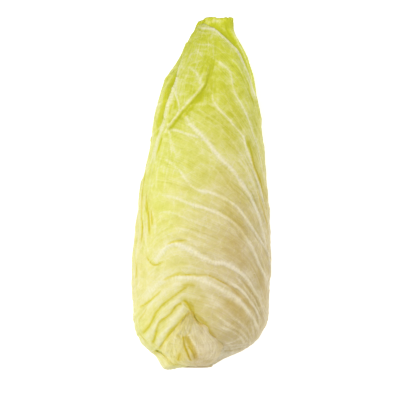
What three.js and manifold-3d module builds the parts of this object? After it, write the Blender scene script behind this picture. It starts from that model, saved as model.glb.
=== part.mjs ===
// A head of sugarloaf chicory, picked, trimmed and lying on its side.
// Millimetres, +Z up, floor at z = 0. The cut stem faces -Y and the tip of the head points to +Y.
// The origin is under the middle of the head's box.
//
// Every leaf is a sheet on one shared skin. A place on the skin is (s, angle):
//   s      distance along the skin from the middle of the cut stem towards the tip
//   angle  degrees around the head: 0 is +X, 90 is the top, 180 is -X, 270 is the floor
// A third number, depth, goes in from the skin towards the spine, so leaves lie in nested layers.
import * as THREE from "three";
import { mergeVertices } from "three/addons/utils/BufferGeometryUtils.js";
import Module from "manifold-3d";

const wasm = await Module();
wasm.setup();

const HEAD_LENGTH = 300;
const STEM_RADIUS = 15.5;
const STEM_FACE = 2; // how far the cut face stands in from the head's lowest leaf
const STEM_DEPTH = 36; // length of the stem's cone inside the head
const LEAF_START = 16.5; // s at which leaves leave the stem
const GAP = 1.4; // between layers: room for the flats of two faceted leaves to pass each other
const FLOOR_BLEND = 3; // the skin turns into the flat underside over this height

// The spine is the straight line that the depths run towards.
const SPINE_FOOT = new THREE.Vector3(-2, 60, 50);
const SPINE_HEAD = new THREE.Vector3(5.5, 240, 36);

// Cross-sections of the skin. left and right are [x, along], top and under are [z, along].
const RINGS = [
  { s: 0, left: [-6, 2], right: [-6, 2], top: [50, 2], under: [50, 2] },
  { s: 14, left: [-20, 1.2], right: [8, 3.3], top: [64, 3], under: [36, 3] },
  { s: 27, left: [-32, 0.5], right: [19.5, 9], top: [76, 8], under: [24, 8] },
  { s: 40, left: [-39.5, 12], right: [31, 14.5], top: [86.5, 16], under: [13.5, 16] },
  { s: 54, left: [-50.5, 22], right: [42.5, 21.5], top: [95.5, 27], under: [4.5, 26] },
  { s: 66, left: [-56, 31.5], right: [50, 29.5], top: [100.5, 37], under: [-2, 36] },
  { s: 80, left: [-58.5, 45], right: [55, 41.5], top: [103.5, 50], under: [-7, 49] },
  { s: 110, left: [-59.5, 75], right: [57.2, 71], top: [105, 79], under: [-10.5, 78] },
  { s: 135, left: [-58.8, 99], right: [58.6, 96], top: [104.3, 103], under: [-10.5, 103] },
  { s: 170, left: [-54.5, 134], right: [57.3, 131], top: [100.5, 136], under: [-10, 137] },
  { s: 205, left: [-48.8, 169], right: [54.6, 166], top: [93.5, 169], under: [-8, 170] },
  { s: 235, left: [-43.3, 198], right: [52, 196], top: [85, 198], under: [-5, 199] },
  { s: 262, left: [-38.3, 226], right: [48.3, 224], top: [75, 225], under: [-1, 226] },
  { s: 284, left: [-31.5, 247], right: [44.6, 246], top: [65, 247], under: [4, 247] },
  { s: 300, left: [-22, 261], right: [41, 260], top: [56.5, 261], under: [8, 261] },
  { s: 312, left: [-17, 270], right: [37.2, 271], top: [50, 271.5], under: [11.5, 271.5] },
  { s: 324, left: [-12.5, 281], right: [31.8, 281], top: [43, 281.5], under: [15.5, 281.5] },
  { s: 334, left: [-7.5, 290], right: [27.5, 289], top: [37, 290], under: [19, 290] },
  { s: 342, left: [-3, 297], right: [26.5, 297], top: [32.5, 297], under: [22, 297] },
  { s: 348, left: [4, 299.6], right: [21, 299.6], top: [29.5, 299.6], under: [24.5, 299.6] },
  { s: 352, left: [12, 300], right: [12, 300], top: [27, 300], under: [27, 300] },
];
const SKIN_END = RINGS.at(-1).s;

// ---- Curves through hand-placed points -------------------------------------------------------

// points: rows [position, value, value, ...] in rising position. Smooth, and flat beyond the ends.
function through(points, at) {
  const last = points.length - 1;
  const clamped = Math.min(Math.max(at, points[0][0]), points[last][0]);
  let i = 0;
  while (i < last - 1 && clamped > points[i + 1][0]) i += 1;
  const before = points[Math.max(i - 1, 0)];
  const start = points[i];
  const stop = points[i + 1];
  const after = points[Math.min(i + 2, last)];
  const span = stop[0] - start[0];
  const t = (clamped - start[0]) / span;
  const result = [];
  for (let k = 1; k < start.length; k += 1) {
    const slopeIn = ((stop[k] - before[k]) / (stop[0] - before[0])) * span;
    const slopeOut = ((after[k] - start[k]) / (after[0] - start[0])) * span;
    const rise = stop[k] - start[k];
    const bend = slopeIn + slopeOut - 2 * rise;
    result.push(start[k] + t * (slopeIn + t * (3 * rise - 2 * slopeIn - slopeOut + t * bend)));
  }
  return result;
}

const RING_ROWS = RINGS.map((ring) => [ring.s, ...ring.left, ...ring.right, ...ring.top, ...ring.under]);
const smoothStep = THREE.MathUtils.smoothstep;
const radians = THREE.MathUtils.degToRad;

// ---- The skin --------------------------------------------------------------------------------

function aboveFloor(z) {
  if (z <= -FLOOR_BLEND) return 0;
  if (z >= FLOOR_BLEND) return z;
  return (z + FLOOR_BLEND) ** 2 / (4 * FLOOR_BLEND);
}

function skinPoint(s, angle) {
  const [leftX, leftY, rightX, rightY, topZ, topY, underZ, underY] = through(RING_ROWS, s);
  const across = Math.cos(radians(angle));
  const up = Math.sin(radians(angle));
  const middleX = (leftX + rightX) / 2;
  const middleZ = (topZ + underZ) / 2;
  const sideY = across > 0 ? rightY : leftY;
  const levelY = up > 0 ? topY : underY;
  return new THREE.Vector3(
    middleX + (across * (rightX - leftX)) / 2,
    sideY * across ** 2 + levelY * up ** 2,
    aboveFloor(middleZ + (up * (topZ - underZ)) / 2),
  );
}

function spinePoint(s) {
  const along = THREE.MathUtils.clamp((s - 60) / (300 - 60), 0, 1);
  return SPINE_FOOT.clone().lerp(SPINE_HEAD, smoothStep(along, 0, 1) * 0.5 + along * 0.5);
}

function pointAt(s, angle, depth) {
  const onSkin = skinPoint(s, angle);
  const inward = spinePoint(s).sub(onSkin).normalize();
  return onSkin.addScaledVector(inward, depth);
}

// ---- Room taken by the leaves that are already in place ---------------------------------------

const CELL_ANGLE = 5;
const CELL_S = 4;
const COLUMNS = 360 / CELL_ANGLE;
const ROWS = Math.ceil(SKIN_END / CELL_S) + 1;
const SPREAD_S = 3; // cells that a leaf's end lifts the next layer beyond itself

const newGrid = () => Array.from({ length: ROWS }, () => new Array(COLUMNS).fill(0));
const wrap = (column) => (column + COLUMNS) % COLUMNS;
const keepRow = (row) => Math.min(Math.max(row, 0), ROWS - 1);

// Each cell becomes reduce(values within the given reach of it).
function sweep(grid, reachRow, reachColumn, reduce) {
  return grid.map((line, row) =>
    line.map((_, column) => {
      const near = [];
      for (let i = -reachRow; i <= reachRow; i += 1) {
        for (let j = -reachColumn; j <= reachColumn; j += 1) {
          near.push(grid[keepRow(row + i)][wrap(column + j)]);
        }
      }
      return reduce(near);
    }),
  );
}

const highest = (values) => Math.max(...values);
const mean = (values) => values.reduce((sum, value) => sum + value, 0) / values.length;

// A smooth sheet that is nowhere shallower than the grid: widen each height, then blur it back.
// spread is how many cells a leaf's side lifts the next layer beyond itself.
function drapeOver(grid, spread) {
  const wide = sweep(grid, SPREAD_S, spread, highest);
  return sweep(sweep(wide, 2, 2, mean), 1, 1, mean);
}

function sample(grid, s, angle) {
  const row = s / CELL_S;
  const column = (((angle % 360) + 360) % 360) / CELL_ANGLE;
  const r = Math.floor(row);
  const c = Math.floor(column);
  const upper = THREE.MathUtils.lerp(grid[keepRow(r)][wrap(c)], grid[keepRow(r)][wrap(c + 1)], column - c);
  const lower = THREE.MathUtils.lerp(
    grid[keepRow(r + 1)][wrap(c)],
    grid[keepRow(r + 1)][wrap(c + 1)],
    column - c,
  );
  return THREE.MathUtils.lerp(upper, lower, row - r);
}

// ---- Leaves ----------------------------------------------------------------------------------

// right and left are the leaf's two long edges as [s, angle] points, read in rising angle from right
// to left. reach is the s of the tip, and round is how far the tip's corners fall back from it.
// rib is [angle at the stem, angle at the tip, thickness it adds at the stem].
const LAMINA = 0.8;

// Rows stand closer at the stem and the tip, where the skin bends most.
const ROW_CROWDING = 0.055;

function leafPlace(leaf, across, along) {
  const end = leaf.reach - leaf.round * Math.abs(across) ** 2.4;
  const crowded = along - ROW_CROWDING * Math.sin(2 * Math.PI * along);
  const s = LEAF_START + (end - LEAF_START) * crowded;
  const [right] = through(leaf.right, s);
  const [left] = through(leaf.left, s);
  return { s, angle: right + ((left - right) * (across + 1)) / 2 };
}

function leafThickness(leaf, s, angle) {
  const along = (s - LEAF_START) / (leaf.reach - LEAF_START);
  const [ribFoot, ribTip, ribHeight] = leaf.rib;
  const ribAngle = THREE.MathUtils.lerp(ribFoot, ribTip, along);
  const fromRib = (angle - ribAngle) / 14;
  return LAMINA + ribHeight * Math.exp(-fromRib * fromRib) * Math.max(1 - along, 0) ** 2;
}

function coversCell(leaf, s, angle) {
  const [right] = through(leaf.right, s);
  const [left] = through(leaf.left, s);
  const middle = (right + left) / 2;
  const offset = THREE.MathUtils.euclideanModulo(angle - middle + 180, 360) - 180;
  const half = (left - right) / 2;
  const across = offset / half;
  const end = leaf.reach - leaf.round * Math.abs(across) ** 2.4;
  const inside = Math.abs(offset) <= half + CELL_ANGLE && s <= end + CELL_S;
  return { inside, angle: middle + offset };
}

// Outer and inner faces of a sheet as two grids of points, closed by a rim.
function closedSheet(columns, rows, place) {
  const points = [];
  const faces = [];
  const perSide = (columns + 1) * (rows + 1);
  const index = (side, i, j) => side * perSide + j * (columns + 1) + i;
  for (let side = 0; side < 2; side += 1) {
    for (let j = 0; j <= rows; j += 1) {
      for (let i = 0; i <= columns; i += 1) {
        points.push(...place((2 * i) / columns - 1, j / rows, side));
      }
    }
  }
  const quad = (a, b, c, d) => faces.push(a, b, c, a, c, d);
  for (let j = 0; j < rows; j += 1) {
    for (let i = 0; i < columns; i += 1) {
      quad(index(0, i, j), index(0, i, j + 1), index(0, i + 1, j + 1), index(0, i + 1, j));
      quad(index(1, i, j), index(1, i + 1, j), index(1, i + 1, j + 1), index(1, i, j + 1));
    }
  }
  for (let j = 0; j < rows; j += 1) {
    quad(index(0, 0, j), index(1, 0, j), index(1, 0, j + 1), index(0, 0, j + 1));
    quad(index(0, columns, j), index(0, columns, j + 1), index(1, columns, j + 1), index(1, columns, j));
  }
  for (let i = 0; i < columns; i += 1) {
    quad(index(0, i, 0), index(0, i + 1, 0), index(1, i + 1, 0), index(1, i, 0));
    quad(index(0, i, rows), index(1, i, rows), index(1, i + 1, rows), index(0, i + 1, rows));
  }
  return facingOut(points, faces);
}

function meshVolume(points, faces) {
  let volume = 0;
  const corner = (i) => new THREE.Vector3(points[3 * i], points[3 * i + 1], points[3 * i + 2]);
  for (let f = 0; f < faces.length; f += 3) {
    volume += corner(faces[f]).dot(corner(faces[f + 1]).cross(corner(faces[f + 2]))) / 6;
  }
  return volume;
}

function facingOut(points, faces) {
  if (meshVolume(points, faces) < 0) faces.reverse();
  const geometry = new THREE.BufferGeometry();
  geometry.setAttribute("position", new THREE.Float32BufferAttribute(points, 3));
  geometry.setIndex(faces);
  return geometry;
}

// The head's own origin is at the end of the stem, so each point moves to the middle of the box.
function inHead(s, angle, depth) {
  const point = pointAt(s, angle, depth);
  return [point.x, point.y - HEAD_LENGTH / 2, point.z];
}

let taken = newGrid();

// Lays one leaf under all leaves laid before it, and notes the room it takes.
function layLeaf(leaf) {
  const drape = drapeOver(taken, leaf.depth ? 4 : 2);
  const depthAt = (s, angle) => Math.max(sample(drape, s, angle), leaf.depth ?? 0);
  const geometry = closedSheet(leaf.columns, leaf.rows, (across, along, side) => {
    const { s, angle } = leafPlace(leaf, across, along);
    const thinEdge = 1 - 0.4 * Math.abs(across) ** 6;
    const thickness = leafThickness(leaf, s, angle) * thinEdge;
    return inHead(s, angle, depthAt(s, angle) + side * thickness);
  });
  taken = taken.map((line, row) =>
    line.map((used, column) => {
      const s = row * CELL_S;
      const { inside, angle } = coversCell(leaf, s, column * CELL_ANGLE);
      if (!inside) return used;
      return Math.max(used, depthAt(s, angle) + leafThickness(leaf, s, angle) + GAP);
    }),
  );
  return geometry;
}

const LEAVES = [
  {
    name: "base_flap_centre",
    colour: "#dcc99a",
    reach: 79,
    round: 3,
    right: [[16, 40], [39, 51], [53, 68], [66, 85], [79, 96]],
    left: [[16, 160], [30, 152], [45, 142], [60, 119], [71, 105], [79, 100]],
    rib: [96, 99, 1.4],
    columns: 7,
    rows: 7,
  },
  {
    name: "base_flap_left",
    colour: "#dfcb98",
    reach: 52,
    round: 6,
    right: [[16, 128], [30, 134], [35, 140], [40, 149], [46, 168], [52, 185]],
    left: [[16, 250], [30, 244], [44, 232], [52, 214]],
    rib: [196, 196, 1.2],
    columns: 7,
    rows: 6,
  },
  {
    name: "leaf_front",
    colour: "#d8d07a",
    reach: 340,
    round: 4,
    right: [[16, -40], [40, -50], [80, -52], [150, -50], [200, -44], [230, -32], [250, -15], [265, 0],
      [283, 23], [296, 33], [313, 45], [323, 55], [332, 74], [340, 92]],
    left: [[16, 150], [40, 178], [80, 198], [150, 194], [180, 187], [210, 168], [235, 159], [258, 152],
      [283, 146], [300, 152], [320, 162], [340, 152]],
    rib: [-20, 10, 3],
    columns: 17,
    rows: 18,
  },
  {
    name: "leaf_left",
    colour: "#d3cf6c",
    reach: 322,
    round: 22,
    right: [[16, 110], [60, 100], [200, 96], [322, 112]],
    left: [[16, 260], [50, 285], [120, 306], [220, 290], [322, 236]],
    rib: [190, 186, 3],
    columns: 13,
    rows: 15,
  },
  {
    name: "leaf_tip",
    colour: "#cfd055",
    reach: 347,
    round: 5,
    right: [[16, -70], [60, -84], [200, -80], [300, -64], [347, -40]],
    left: [[16, 110], [60, 126], [200, 128], [300, 150], [347, 176]],
    rib: [30, 50, 3],
    columns: 14,
    rows: 17,
  },
  {
    name: "leaf_right",
    colour: "#d6cf78",
    reach: 318,
    round: 20,
    right: [[16, 230], [60, 214], [200, 222], [318, 262]],
    left: [[16, 350], [60, 376], [200, 380], [318, 366]],
    rib: [300, 312, 3],
    columns: 12,
    rows: 14,
  },
  {
    name: "leaf_under",
    colour: "#dcd68c",
    reach: 335,
    round: 16,
    right: [[16, 160], [60, 150], [200, 158], [335, 180]],
    left: [[16, 300], [60, 330], [200, 336], [335, 330]],
    rib: [240, 250, 2.8],
    columns: 12,
    rows: 14,
  },
  {
    name: "leaf_back",
    colour: "#dcd68c",
    reach: 338,
    round: 14,
    right: [[16, 20], [60, 0], [200, 4], [338, 20]],
    left: [[16, 170], [60, 190], [200, 190], [338, 180]],
    rib: [95, 92, 2.8],
    columns: 12,
    rows: 14,
  },
];

// Inner leaves follow each other by the golden angle, each deeper and paler than the last.
const GOLDEN_ANGLE = 137.5;
const INNER_LEAVES = 8;
for (let k = 0; k < INNER_LEAVES; k += 1) {
  const middle = 250 + k * GOLDEN_ANGLE;
  const spread = 104 - 3 * k;
  const reach = 340 - 3 * k;
  LEAVES.push({
    name: `inner_leaf_${k + 1}`,
    colour: new THREE.Color("#e6de8e").lerp(new THREE.Color("#f4ecc0"), k / INNER_LEAVES),
    reach,
    round: 18,
    depth: 11 + 3 * k,
    right: [[16, middle - spread * 0.7], [70, middle - spread], [220, middle - spread], [reach, middle - 60]],
    left: [[16, middle + spread * 0.7], [70, middle + spread], [220, middle + spread], [reach, middle + 60]],
    rib: [middle, middle, 2.4],
    columns: k < 3 ? 14 : 10,
    rows: 11,
  });
}

// ---- The heart and the stem --------------------------------------------------------------------

// A closed body around the spine, from rings of points that are capped at both ends.
function closedRings(rings) {
  const around = rings[0].length;
  const points = rings.flat(2);
  const faces = [];
  for (let j = 0; j < rings.length - 1; j += 1) {
    for (let i = 0; i < around; i += 1) {
      const a = j * around + i;
      const b = j * around + ((i + 1) % around);
      faces.push(a, a + around, b + around, a, b + around, b);
    }
  }
  const cap = (ring, first, turn) => {
    const centre = points.length / 3;
    const middle = [0, 1, 2].map((k) => mean(ring.map((point) => point[k])));
    points.push(...middle);
    for (let i = 0; i < around; i += 1) {
      const a = first + i;
      const b = first + ((i + 1) % around);
      faces.push(centre, ...(turn ? [b, a] : [a, b]));
    }
  };
  cap(rings[0], 0, false);
  cap(rings.at(-1), (rings.length - 1) * around, true);
  return facingOut(points, faces);
}

const HEART_SIDES = 16;
const HEART_ROWS = 12;
const HEART_FOOT = STEM_DEPTH + 7; // depth at which the bud sits on the stem's cone
const HEART_PLEAT = 1.2;

// The bud of unopened leaves in the middle: a pleated spindle under the last inner leaf.
function heartBud() {
  const drape = drapeOver(taken, 3);
  const rings = [];
  for (let j = 0; j <= HEART_ROWS; j += 1) {
    const s = THREE.MathUtils.lerp(LEAF_START + 6, SKIN_END - 8, j / HEART_ROWS);
    const ring = [];
    for (let i = 0; i < HEART_SIDES; i += 1) {
      const angle = (360 * i) / HEART_SIDES;
      const pleat = i % 2 === 0 ? 0 : HEART_PLEAT;
      const foot = HEART_FOOT * (1 - smoothStep(s, LEAF_START, 70));
      ring.push(inHead(s, angle, Math.max(sample(drape, s, angle) + 1, foot) + pleat));
    }
    rings.push(ring);
  }
  return closedRings(rings);
}

// The cut stem: a flat round face, and a cone inside the head that the leaves grow from.
function stem() {
  const sides = 32;
  const face = skinPoint(0, 0);
  const ringAt = (radius, depth) => {
    const centre = new THREE.Vector3(face.x, STEM_FACE, face.z);
    const toSpine = SPINE_FOOT.clone().sub(centre).normalize();
    centre.addScaledVector(toSpine, depth);
    const ring = [];
    for (let i = 0; i < sides; i += 1) {
      const turn = (2 * Math.PI * i) / sides;
      const x = centre.x + radius * Math.cos(turn);
      const z = centre.z + radius * Math.sin(turn);
      ring.push([x, centre.y - HEAD_LENGTH / 2, z]);
    }
    return ring;
  };
  const coneLength = SPINE_FOOT.y - STEM_FACE;
  const rings = [ringAt(STEM_RADIUS - 1, 0), ringAt(STEM_RADIUS, 0.8)];
  for (let depth = 9; depth <= STEM_DEPTH; depth += 9) {
    rings.push(ringAt(STEM_RADIUS * (1 - depth / coneLength), depth));
  }
  rings.push(ringAt(2, STEM_DEPTH + 2));
  return closedRings(rings);
}

// ---- The folded edge of the front leaf -----------------------------------------------------------

// The front leaf's left edge folds over near the tip and stands a little off the leaf.
// hinge and free are [s, angle] points. The fold starts inside the leaf, so the two join in one body.
const FOLD_HINGE = [[240, 133], [263, 126], [274, 129], [293, 136], [306, 140]];
const FOLD_FREE = [[240, 132], [251, 123], [257, 114], [263, 105], [271, 99], [278, 94], [288, 89], [306, 96]];
const FOLD_LIFT = 3.6;

function frontLeafFold() {
  return closedSheet(5, 10, (across, along, side) => {
    const s = THREE.MathUtils.lerp(FOLD_HINGE[0][0] + 3, FOLD_HINGE.at(-1)[0] - 2, along);
    const [hinge] = through(FOLD_HINGE, s);
    const [free] = through(FOLD_FREE, s);
    const out = (across + 1) / 2;
    const tuckedEnd = 1 - smoothStep(along, 0.7, 1);
    const lift = FOLD_LIFT * Math.sin((Math.PI / 2) * out) * tuckedEnd - 0.5;
    return inHead(s, THREE.MathUtils.lerp(hinge, free, out), side * LAMINA - lift);
  });
}

function asSolid(geometry) {
  const merged = mergeVertices(geometry, 1e-4);
  const vertProperties = new Float32Array(merged.attributes.position.array);
  const triVerts = new Uint32Array(merged.index.array);
  return new wasm.Manifold(new wasm.Mesh({ numProp: 3, vertProperties, triVerts }));
}

function joined(first, second) {
  const mesh = asSolid(first).add(asSolid(second)).getMesh();
  const geometry = new THREE.BufferGeometry();
  geometry.setAttribute("position", new THREE.Float32BufferAttribute(mesh.vertProperties, 3));
  geometry.setIndex(Array.from(mesh.triVerts));
  return geometry;
}

// ---- Assembly ------------------------------------------------------------------------------------

const group = new THREE.Group();
group.name = "sugarloaf_chicory";

function addPiece(name, geometry, colour, roughness) {
  const material = new THREE.MeshStandardMaterial({ color: colour, roughness, metalness: 0 });
  const mesh = new THREE.Mesh(geometry, material);
  mesh.name = name;
  group.add(mesh);
}

for (const leaf of LEAVES) {
  const sheet = layLeaf(leaf);
  const geometry = leaf.name === "leaf_front" ? joined(sheet, frontLeafFold()) : sheet;
  addPiece(leaf.name, geometry, leaf.colour, 0.45);
}
addPiece("heart_bud", heartBud(), "#f3eaa6", 0.5);
addPiece("cut_stem", stem(), "#cfb98c", 0.8);

export default group;
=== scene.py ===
"""Looks of the sugarloaf chicory: a head of leaves lying on its side, seen from straight above.

Every leaf is a sheet on one shared skin, as in the CAD part. A place on the skin is (s, angle):
  s      distance in mm along the skin from the middle of the cut stem towards the tip
  angle  degrees around the head: 0 is +X, 90 is the top, 180 is -X, 270 is the floor
Depth goes in from the skin towards the spine, and height stands out from it.
Lines such as ribs and fold lines are lists of [s, angle] points.
"""

import itertools
import math

import bpy
import numpy as np
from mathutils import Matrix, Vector


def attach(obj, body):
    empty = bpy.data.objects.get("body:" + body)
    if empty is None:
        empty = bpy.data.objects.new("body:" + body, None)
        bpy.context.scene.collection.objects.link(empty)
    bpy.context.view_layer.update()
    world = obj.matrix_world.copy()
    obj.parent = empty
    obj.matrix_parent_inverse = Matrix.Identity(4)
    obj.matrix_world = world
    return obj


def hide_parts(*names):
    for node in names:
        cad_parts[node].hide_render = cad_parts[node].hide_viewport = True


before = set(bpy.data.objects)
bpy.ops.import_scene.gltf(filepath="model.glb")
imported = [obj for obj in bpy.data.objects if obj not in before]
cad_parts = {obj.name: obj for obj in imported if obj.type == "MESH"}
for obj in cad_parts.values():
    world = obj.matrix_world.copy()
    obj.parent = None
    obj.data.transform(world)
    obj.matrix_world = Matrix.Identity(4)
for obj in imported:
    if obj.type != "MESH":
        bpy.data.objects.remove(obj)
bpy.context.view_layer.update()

MM = 0.001
HEAD_LENGTH = 300.0
LEAF_START = 16.0  # s at which the leaves begin, past the cut stem
FLOOR_BLEND = 3.0  # over this height the skin turns into the face that the head rests on
SPINE_FOOT = np.array([-2.0, 60.0, 50.0])
SPINE_HEAD = np.array([5.5, 240.0, 36.0])
SPINE_FROM = 60.0  # the s at which depth starts to turn from the spine's foot towards its head
SPINE_RUN = 240.0

# Cross-sections of the skin, in mm: s, then left x and along, right x and along, top z and along,
# underside z and along.
RINGS = [
    [0, -6, 2, -6, 2, 50, 2, 50, 2],
    [14, -20, 1.2, 8, 3.3, 64, 3, 36, 3],
    [27, -32, 0.5, 19.5, 9, 76, 8, 24, 8],
    [40, -39.5, 12, 31, 14.5, 86.5, 16, 13.5, 16],
    [54, -50.5, 22, 42.5, 21.5, 95.5, 27, 4.5, 26],
    [66, -56, 31.5, 50, 29.5, 100.5, 37, -2, 36],
    [80, -58.5, 45, 55, 41.5, 103.5, 50, -7, 49],
    [110, -59.5, 75, 57.2, 71, 105, 79, -10.5, 78],
    [135, -58.8, 99, 58.6, 96, 104.3, 103, -10.5, 103],
    [170, -54.5, 134, 57.3, 131, 100.5, 136, -10, 137],
    [205, -48.8, 169, 54.6, 166, 93.5, 169, -8, 170],
    [235, -43.3, 198, 52, 196, 85, 198, -5, 199],
    [262, -38.3, 226, 48.3, 224, 75, 225, -1, 226],
    [284, -31.5, 247, 44.6, 246, 65, 247, 4, 247],
    [300, -22, 261, 41, 260, 56.5, 261, 8, 261],
    [312, -17, 270, 37.2, 271, 50, 271.5, 11.5, 271.5],
    [324, -12.5, 281, 31.8, 281, 43, 281.5, 15.5, 281.5],
    [334, -7.5, 290, 27.5, 289, 37, 290, 19, 290],
    [342, -3, 297, 26.5, 297, 32.5, 297, 22, 297],
    [348, 4, 299.6, 21, 299.6, 29.5, 299.6, 24.5, 299.6],
    [352, 12, 300, 12, 300, 27, 300, 27, 300],
]
SKIN_END = RINGS[-1][0]


# ---- Curves and noise ------------------------------------------------------------------------

HASH_MIX = np.array([127.1, 311.7, 74.7])  # these two make a cell's number look random
HASH_SCALE = 43758.5453


def through(points, at):
    """A smooth curve through rows [position, value, ...] in rising position, flat beyond its ends."""
    rows = np.asarray(points, float)
    x, values = rows[:, 0], rows[:, 1:]
    at = np.clip(np.asarray(at, float), x[0], x[-1])
    start = np.clip(np.searchsorted(x, at) - 1, 0, len(x) - 2)
    stop = start + 1
    before = np.maximum(start - 1, 0)
    after = np.minimum(start + 2, len(x) - 1)
    span = (x[stop] - x[start])[..., None]
    t = (at - x[start])[..., None] / span
    slope_in = (values[stop] - values[before]) / (x[stop] - x[before])[..., None] * span
    slope_out = (values[after] - values[start]) / (x[after] - x[start])[..., None] * span
    rise = values[stop] - values[start]
    bend = slope_in + slope_out - 2 * rise
    return values[start] + t * (slope_in + t * (3 * rise - 2 * slope_in - slope_out + t * bend))


def curve(points, at):
    """The first value of through()."""
    return through(points, at)[..., 0]


def smooth(low, high, value):
    """0 below low, 1 above high, and a smooth rise between. high may be below low."""
    t = np.clip((value - low) / (high - low), 0, 1)
    return t * t * (3 - 2 * t)


def noise(points, cell, seed=0.0):
    """Smooth noise from -1 to 1 whose lumps are about one cell wide."""
    grid = points / cell + seed
    base = np.floor(grid)
    part = grid - base
    part = part * part * (3 - 2 * part)
    total = np.zeros(points.shape[:-1])
    for corner in itertools.product((0, 1), repeat=points.shape[-1]):
        corner = np.array(corner)
        weight = np.prod(np.where(corner == 1, part, 1 - part), axis=-1)
        mixed = (base + corner) @ HASH_MIX[: points.shape[-1]]
        total += weight * (np.modf(np.abs(np.sin(mixed) * HASH_SCALE))[0] * 2 - 1)
    return total


# ---- The skin --------------------------------------------------------------------------------


def skin(s, angle):
    """Points on the head's outer surface, in mm, with the stem end at y = 0."""
    ring = np.moveaxis(through(RINGS, s), -1, 0)
    left_x, left_y, right_x, right_y, top_z, top_y, under_z, under_y = ring
    across = np.cos(np.radians(angle))
    up = np.sin(np.radians(angle))
    x = (left_x + right_x) / 2 + across * (right_x - left_x) / 2
    y = np.where(across > 0, right_y, left_y) * across**2 + np.where(up > 0, top_y, under_y) * up**2
    z = (top_z + under_z) / 2 + up * (top_z - under_z) / 2
    pressed = (z + FLOOR_BLEND) ** 2 / (4 * FLOOR_BLEND)
    z = np.where(z > FLOOR_BLEND, z, np.where(z < -FLOOR_BLEND, 0, pressed))
    return np.stack([x, y, z], axis=-1)


def inward(s, points):
    """Unit directions from points on the skin to the spine."""
    along = np.clip((s - SPINE_FROM) / SPINE_RUN, 0, 1)
    along = (smooth(0, 1, along) * 0.5 + along * 0.5)[..., None]
    towards = SPINE_FOOT + (SPINE_HEAD - SPINE_FOOT) * along - points
    return towards / np.linalg.norm(towards, axis=-1, keepdims=True)


def place(s, angle, depth):
    """Points under the skin by depth, in mm in the row frame. Nothing reaches below the floor."""
    on_skin = skin(s, angle)
    points = on_skin + inward(s, on_skin) * depth[..., None]
    points[..., 1] -= HEAD_LENGTH / 2
    points[..., 2] = np.maximum(points[..., 2], 0)
    return points


# ---- Room taken by the leaves that are already in place ---------------------------------------

CELL_S = 2.0
CELL_ANGLE = 2.0
EDGE_DROP = 9.0  # mm that a leaf's limit falls away beyond the edges of the leaves over it
GRID_S, GRID_ANGLE = np.meshgrid(
    np.arange(0, SKIN_END + CELL_S, CELL_S), np.arange(0, 360, CELL_ANGLE), indexing="ij"
)
taken = np.zeros(GRID_S.shape)


def highest(near):
    return np.max(near, axis=0)


def average(near):
    return np.mean(near, axis=0)


def sweep(grid, rows, columns, reduce):
    """Each cell becomes reduce() of the cells within reach of it, along s and then around."""
    padded = np.pad(grid, ((rows, rows), (0, 0)), mode="edge")
    grid = reduce([padded[k : k + len(grid)] for k in range(2 * rows + 1)])
    return reduce([np.roll(grid, k, axis=1) for k in range(-columns, columns + 1)])


def drape_over(grid):
    """A smooth sheet that is nowhere shallower than the grid: widened first, and then blurred."""
    wide = sweep(grid, 4, 4, highest)
    return sweep(sweep(wide, 3, 3, average), 1, 1, average)


def sample(grid, s, angle):
    """The grid's value at any place, between its cells."""
    row = np.clip(s / CELL_S, 0, len(grid) - 1.001)
    column = np.mod(angle, 360) / CELL_ANGLE
    r, c = np.floor(row).astype(int), np.floor(column).astype(int)
    turn = grid.shape[1]
    upper = grid[r, c % turn] * (1 - column + c) + grid[r, (c + 1) % turn] * (column - c)
    lower = grid[r + 1, c % turn] * (1 - column + c) + grid[r + 1, (c + 1) % turn] * (column - c)
    return upper * (1 - row + r) + lower * (row - r)


# ---- Lines drawn on the skin -------------------------------------------------------------------

LINE_STEP = 0.7  # mm between the places at which a line is measured


class Line:
    """A smooth line through [s, angle] points, and how far the skin is from it."""

    def __init__(self, points, reach=14.0):
        points = np.asarray(points, float)
        steps = np.diff(skin(points[:, 0], points[:, 1]), axis=0)
        along = np.concatenate([[0], np.cumsum(np.linalg.norm(steps, axis=1))])
        self.length = along[-1]
        self.along = np.arange(0, self.length, LINE_STEP)
        self.places = through(np.column_stack([along, points]), self.along)
        self.path = skin(self.places[:, 0], self.places[:, 1])
        self.heading = np.gradient(self.places, axis=0)
        self.reach = reach

    def near(self, s, angle, points):
        """Distance, place along the line from 0 to 1, and side: +1 is left of travel seen from outside."""
        distance = np.full(s.shape, 1e3)
        share = np.zeros(s.shape)
        side = np.ones(s.shape)
        above = points > self.path.min(0) - self.reach
        below = points < self.path.max(0) + self.reach
        inside = np.all(above & below, axis=-1)
        chosen = points[inside]
        if not len(chosen):
            return distance, share, side
        squares = (chosen**2).sum(-1)[:, None] + (self.path**2).sum(-1) - 2 * chosen @ self.path.T
        nearest = squares.argmin(axis=1)
        distance[inside] = np.sqrt(np.maximum(squares[np.arange(len(chosen)), nearest], 0))
        share[inside] = self.along[nearest] / self.length
        offset_s = s[inside] - self.places[nearest, 0]
        turned = np.mod(angle[inside] - self.places[nearest, 1] + 180, 360) - 180
        heading = self.heading[nearest]
        side[inside] = np.where(heading[:, 0] * turned - heading[:, 1] * offset_s >= 0, 1.0, -1.0)
        return distance, share, side


# The marks are what is drawn along a line, in mm. fade is the shares of the line over which a mark fades in
# and out. tall and wide of a rib may be (at its start, at its end).


def rib(points, tall, wide, pale=1.0, fade=(0.2, 0.2)):
    """A raised, pale rib."""
    return {"draw": draw_rib, "line": Line(points), "tall": tall, "wide": wide, "pale": pale, "fade": fade}


def vein(points, pale=0.5, fade=(0.25, 0.25)):
    """A faint, thin rib."""
    return rib(points, 0.2, 1.1, 0.6 * pale, fade)


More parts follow.
